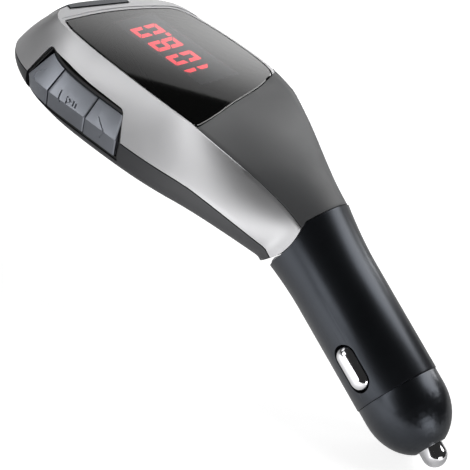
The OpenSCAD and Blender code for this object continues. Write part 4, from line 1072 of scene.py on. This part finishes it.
def add_sky():
    """White to the camera, and nearly dark to the object."""
    world = bpy.data.worlds.new("studio")
    bpy.context.scene.world = world
    world.use_nodes = True
    tree = world.node_tree
    tree.nodes.clear()
    seen = add_node(tree, "Background", {"Color": WHITE})
    lit = add_node(tree, "Background", {"Color": WHITE, "Strength": look().sky_level})
    mix = add_node(tree, "MixShader", {0: add_node(tree, "LightPath").outputs["Is Camera Ray"],
                                       1: lit.outputs[0], 2: seen.outputs[0]})
    add_node(tree, "OutputWorld", {"Surface": mix.outputs[0]})


def add_lights():
    level = look().lamp_level
    # The card behind, whose upper edge the glass shows as the slanting border of its dark wedge
    far, width, height = 900, 1500, 260
    a, b = seen_in_top(60, 54.3, far), seen_in_top(300, 121.1, far)
    along = (b - a).normalized()
    glass = Vector((-85, 5, 39.6))
    ray = (seen_in_top(180, 40, far) - glass).normalized()
    down = ray.cross(along)
    if down.z > 0:
        down = -down
    centre = (a + b) / 2 + down * height / 2
    card = add_light("card behind", centre, centre - ray * far, (width, height), 1.8 * level, along)
    depth = (seen_in_top(215, 25, far) - (a + b) / 2).dot(down)
    shade_card(card.data, (0.45, 1.0), (b - a).length / width, (0.25, 1.6), depth / height)
    middle = (-60, 0, 20)
    for name, centre, aim, size, share in (
            ("key behind", (130, 620, 680), middle, (700, 600), 2.5),
            ("card near", (-430, -780, 350), middle, (520, 420), 1.95),
            ("card low", (-70, -620, 75), (20, 0, 0), (300, 170), 1.8),
            ("card ahead", (640, -20, 78), (10, 0, -4), (360, 170), 2.6),
            ("card front", (-900, -260, 420), middle, (420, 420), 0.8)):
        add_light(name, centre, aim, size, share * level)


def make_stage():
    bpy.context.scene.view_settings.view_transform = "Standard"
    add_camera()
    add_floor()
    add_sky()
    add_lights()


# ---------------------------------------------------------------- add-on

def colour(name, description, default):
    return bpy.props.FloatVectorProperty(name=name, description=description, default=default,
                                         subtype="COLOR", min=0, max=1)


def level(name, description, default):
    return bpy.props.FloatProperty(name=name, description=description, default=default, min=0)


def width(name, description, default, low, high):
    return bpy.props.FloatProperty(name=name, description=description + ", millimetres", default=default,
                                   min=low, max=high)


class TransmitterLook(bpy.types.PropertyGroup):
    silver: colour("Silver", "Colour of the upper shell's lacquer", (0.52, 0.52, 0.53))
    dark: colour("Dark grey", "Colour of the lower shell's lacquer", (0.034, 0.035, 0.039))
    spine: colour("Spine", "Colour of the cover on the spine", (0.085, 0.087, 0.09))
    gloss: colour("Polished black", "Colour of the plug and the front panel", (0.0045, 0.005, 0.006))
    button: colour("Buttons", "Colour of the three buttons", (0.27, 0.285, 0.32))
    glass: colour("Glass", "Tint of the display window", (0.10, 0.105, 0.12))
    digits: colour("Digits", "Colour of the lit segments", (1.0, 0.045, 0.055))
    digit_level: level("Digit level", "How strongly the segments glow", 13.0)
    glass_edge: width("Glass edge", "Bevel round the window", 0.4, 0.1, 0.8)
    button_edge: width("Button edge", "Rounding of the buttons", 0.3, 0.1, 0.6)
    mark_r: width("Mark radius", "Half width of the engraved marks", 0.16, 0.05, 0.4)
    bar_t: width("Segment width", "Width of a lit segment", 1.15, 0.4, 1.6)
    bar_gap: width("Segment gap", "Gap between lit segments", 0.17, 0.05, 0.4)
    spring_turns: bpy.props.IntProperty(
        name="Spring turns", description="Turns of the spring behind the fuse", default=6, min=4, max=10)
    sky_level: level("Sky level", "Brightness of the studio's walls", 0.03)
    lamp_level: level("Lamp level", "Brightness of the soft lights", 1.6)
    floor_level: level("Floor level", "Paleness added to the floor in the picture", 0.80)


class TRANSMITTER_OT_top_shell(bpy.types.Operator):
    """Make the silver upper shell with its window recess, spine pocket and button notch"""
    bl_idname = "transmitter.top_shell"
    bl_label = "Upper shell"

    def execute(self, context):
        make_top_shell()
        return {"FINISHED"}


class TRANSMITTER_OT_bottom_shell(bpy.types.Operator):
    """Make the dark lower shell with its screw wells and the ears of the tilt pin"""
    bl_idname = "transmitter.bottom_shell"
    bl_label = "Lower shell"

    def execute(self, context):
        make_bottom_shell()
        return {"FINISHED"}


class TRANSMITTER_OT_spine_cover(bpy.types.Operator):
    """Make the satin cover on the spine"""
    bl_idname = "transmitter.spine_cover"
    bl_label = "Spine cover"

    def execute(self, context):
        make_spine_cover()
        return {"FINISHED"}


class TRANSMITTER_OT_display(bpy.types.Operator):
    """Make the smoked window with its bevelled edge"""
    bl_idname = "transmitter.display"
    bl_label = "Display window"

    def execute(self, context):
        make_window()
        make_digits()
        return {"FINISHED"}


class TRANSMITTER_OT_panel(bpy.types.Operator):
    """Make the glossy panel round the socket"""
    bl_idname = "transmitter.panel"
    bl_label = "Socket panel"

    def execute(self, context):
        make_panel()
        make_smooth("socket_shell", "plated", "head", "contact_metal", "socket plate", 0.1)
        return {"FINISHED"}


class TRANSMITTER_OT_buttons(bpy.types.Operator):
    """Make the three buttons with their engraved marks, and their plungers"""
    bl_idname = "transmitter.buttons"
    bl_label = "Buttons"

    def execute(self, context):
        for k, body in enumerate(("previous", "call", "next")):
            make_button(k, body)
            make_smooth("plunger_" + body, "moulded", body, "button_grey", "plunger moulding", 0.1)
        return {"FINISHED"}


class TRANSMITTER_OT_plug(bpy.types.Operator):
    """Make the polished barrel, the nose with its contact and the two side contacts"""
    bl_idname = "transmitter.plug"
    bl_label = "Plug"

    def execute(self, context):
        make_barrel()
        make_nose()
        for side in ("near", "far"):
            make_smooth("side_contact_" + side, "nickel", side + "_contact", "contact_metal", "bright nickel",
                        angle=40)
        return {"FINISHED"}


class TRANSMITTER_OT_fuse(bpy.types.Operator):
    """Make the fuse, its tube and the wound spring behind it"""
    bl_idname = "transmitter.fuse"
    bl_label = "Fuse"

    def execute(self, context):
        make_spring()
        make_smooth("fuse_glass", "clear", "centre_contact", "fuse_glass", "clear glass")
        make_smooth("fuse_caps", "plated", "centre_contact", "fuse_cap", "plated cap")
        make_smooth("fuse_tube", "ivory", "plug", "pale_plastic", "ivory moulding", 0.08)
        return {"FINISHED"}


class TRANSMITTER_OT_joint(bpy.types.Operator):
    """Make the knuckle, the tilt pin, its washers and the supply leads"""
    bl_idname = "transmitter.joint"
    bl_label = "Neck joint"

    def execute(self, context):
        make_smooth("knuckle", "moulded", "plug", "grey_joint", "light grey moulding", 0.1)
        make_smooth("tilt_pin", "turned", "head", "pin_steel", "turned steel", 0.2)
        make_smooth("friction_washers", "moulded", "head", "pale_plastic", "washer moulding", 0.08)
        make_smooth("supply_leads", "insulated", "plug", "lead_red", "red insulation", angle=50)
        return {"FINISHED"}


class TRANSMITTER_OT_boards(bpy.types.Operator):
    """Make the chips, coil, capacitors, microphone, antenna and screws, and dress what lies inside"""
    bl_idname = "transmitter.boards"
    bl_label = "Boards"

    def execute(self, context):
        dress_inside()
        make_chips()
        make_screws()
        make_smooth("plug_coil", "ferrite", "plug", "ferrite", "ferrite drum", 0.1)
        make_smooth("capacitors", "sleeved", "head", "can_metal", "capacitor sleeve", 0.25)
        make_smooth("antenna_wire", "tinned", "head", "tinned", "tinned wire", angle=50)
        make_smooth("microphone", "can", "head", "tinned", "tinned wire", 0.2)
        return {"FINISHED"}


class TRANSMITTER_OT_stage(bpy.types.Operator):
    """Set the pale floor, the soft lights and the camera at the photograph's angle"""
    bl_idname = "transmitter.stage"
    bl_label = "Stage"

    def execute(self, context):
        make_stage()
        return {"FINISHED"}


OPERATORS = (
    TRANSMITTER_OT_top_shell, TRANSMITTER_OT_bottom_shell, TRANSMITTER_OT_spine_cover, TRANSMITTER_OT_display,
    TRANSMITTER_OT_panel, TRANSMITTER_OT_buttons, TRANSMITTER_OT_plug, TRANSMITTER_OT_fuse,
    TRANSMITTER_OT_joint, TRANSMITTER_OT_boards, TRANSMITTER_OT_stage)


class TRANSMITTER_PT_panel(bpy.types.Panel):
    bl_idname = "TRANSMITTER_PT_panel"
    bl_label = "Car FM transmitter"
    bl_space_type = "VIEW_3D"
    bl_region_type = "UI"
    bl_category = "Transmitter"

    def draw(self, context):
        column = self.layout.column()
        for name in TransmitterLook.__annotations__:
            column.prop(context.scene.transmitter_look, name)
        for operator in OPERATORS:
            column.operator(operator.bl_idname)


CLASSES = (TransmitterLook, *OPERATORS, TRANSMITTER_PT_panel)


def register():
    for one in CLASSES:
        bpy.utils.register_class(one)
    bpy.types.Scene.transmitter_look = bpy.props.PointerProperty(type=TransmitterLook)


def unregister():
    del bpy.types.Scene.transmitter_look
    for one in reversed(CLASSES):
        bpy.utils.unregister_class(one)


def main():
    register()
    for operator in OPERATORS:
        group, name = operator.bl_idname.split(".")
        getattr(getattr(bpy.ops, group), name)()


if __name__ == "__main__":
    main()
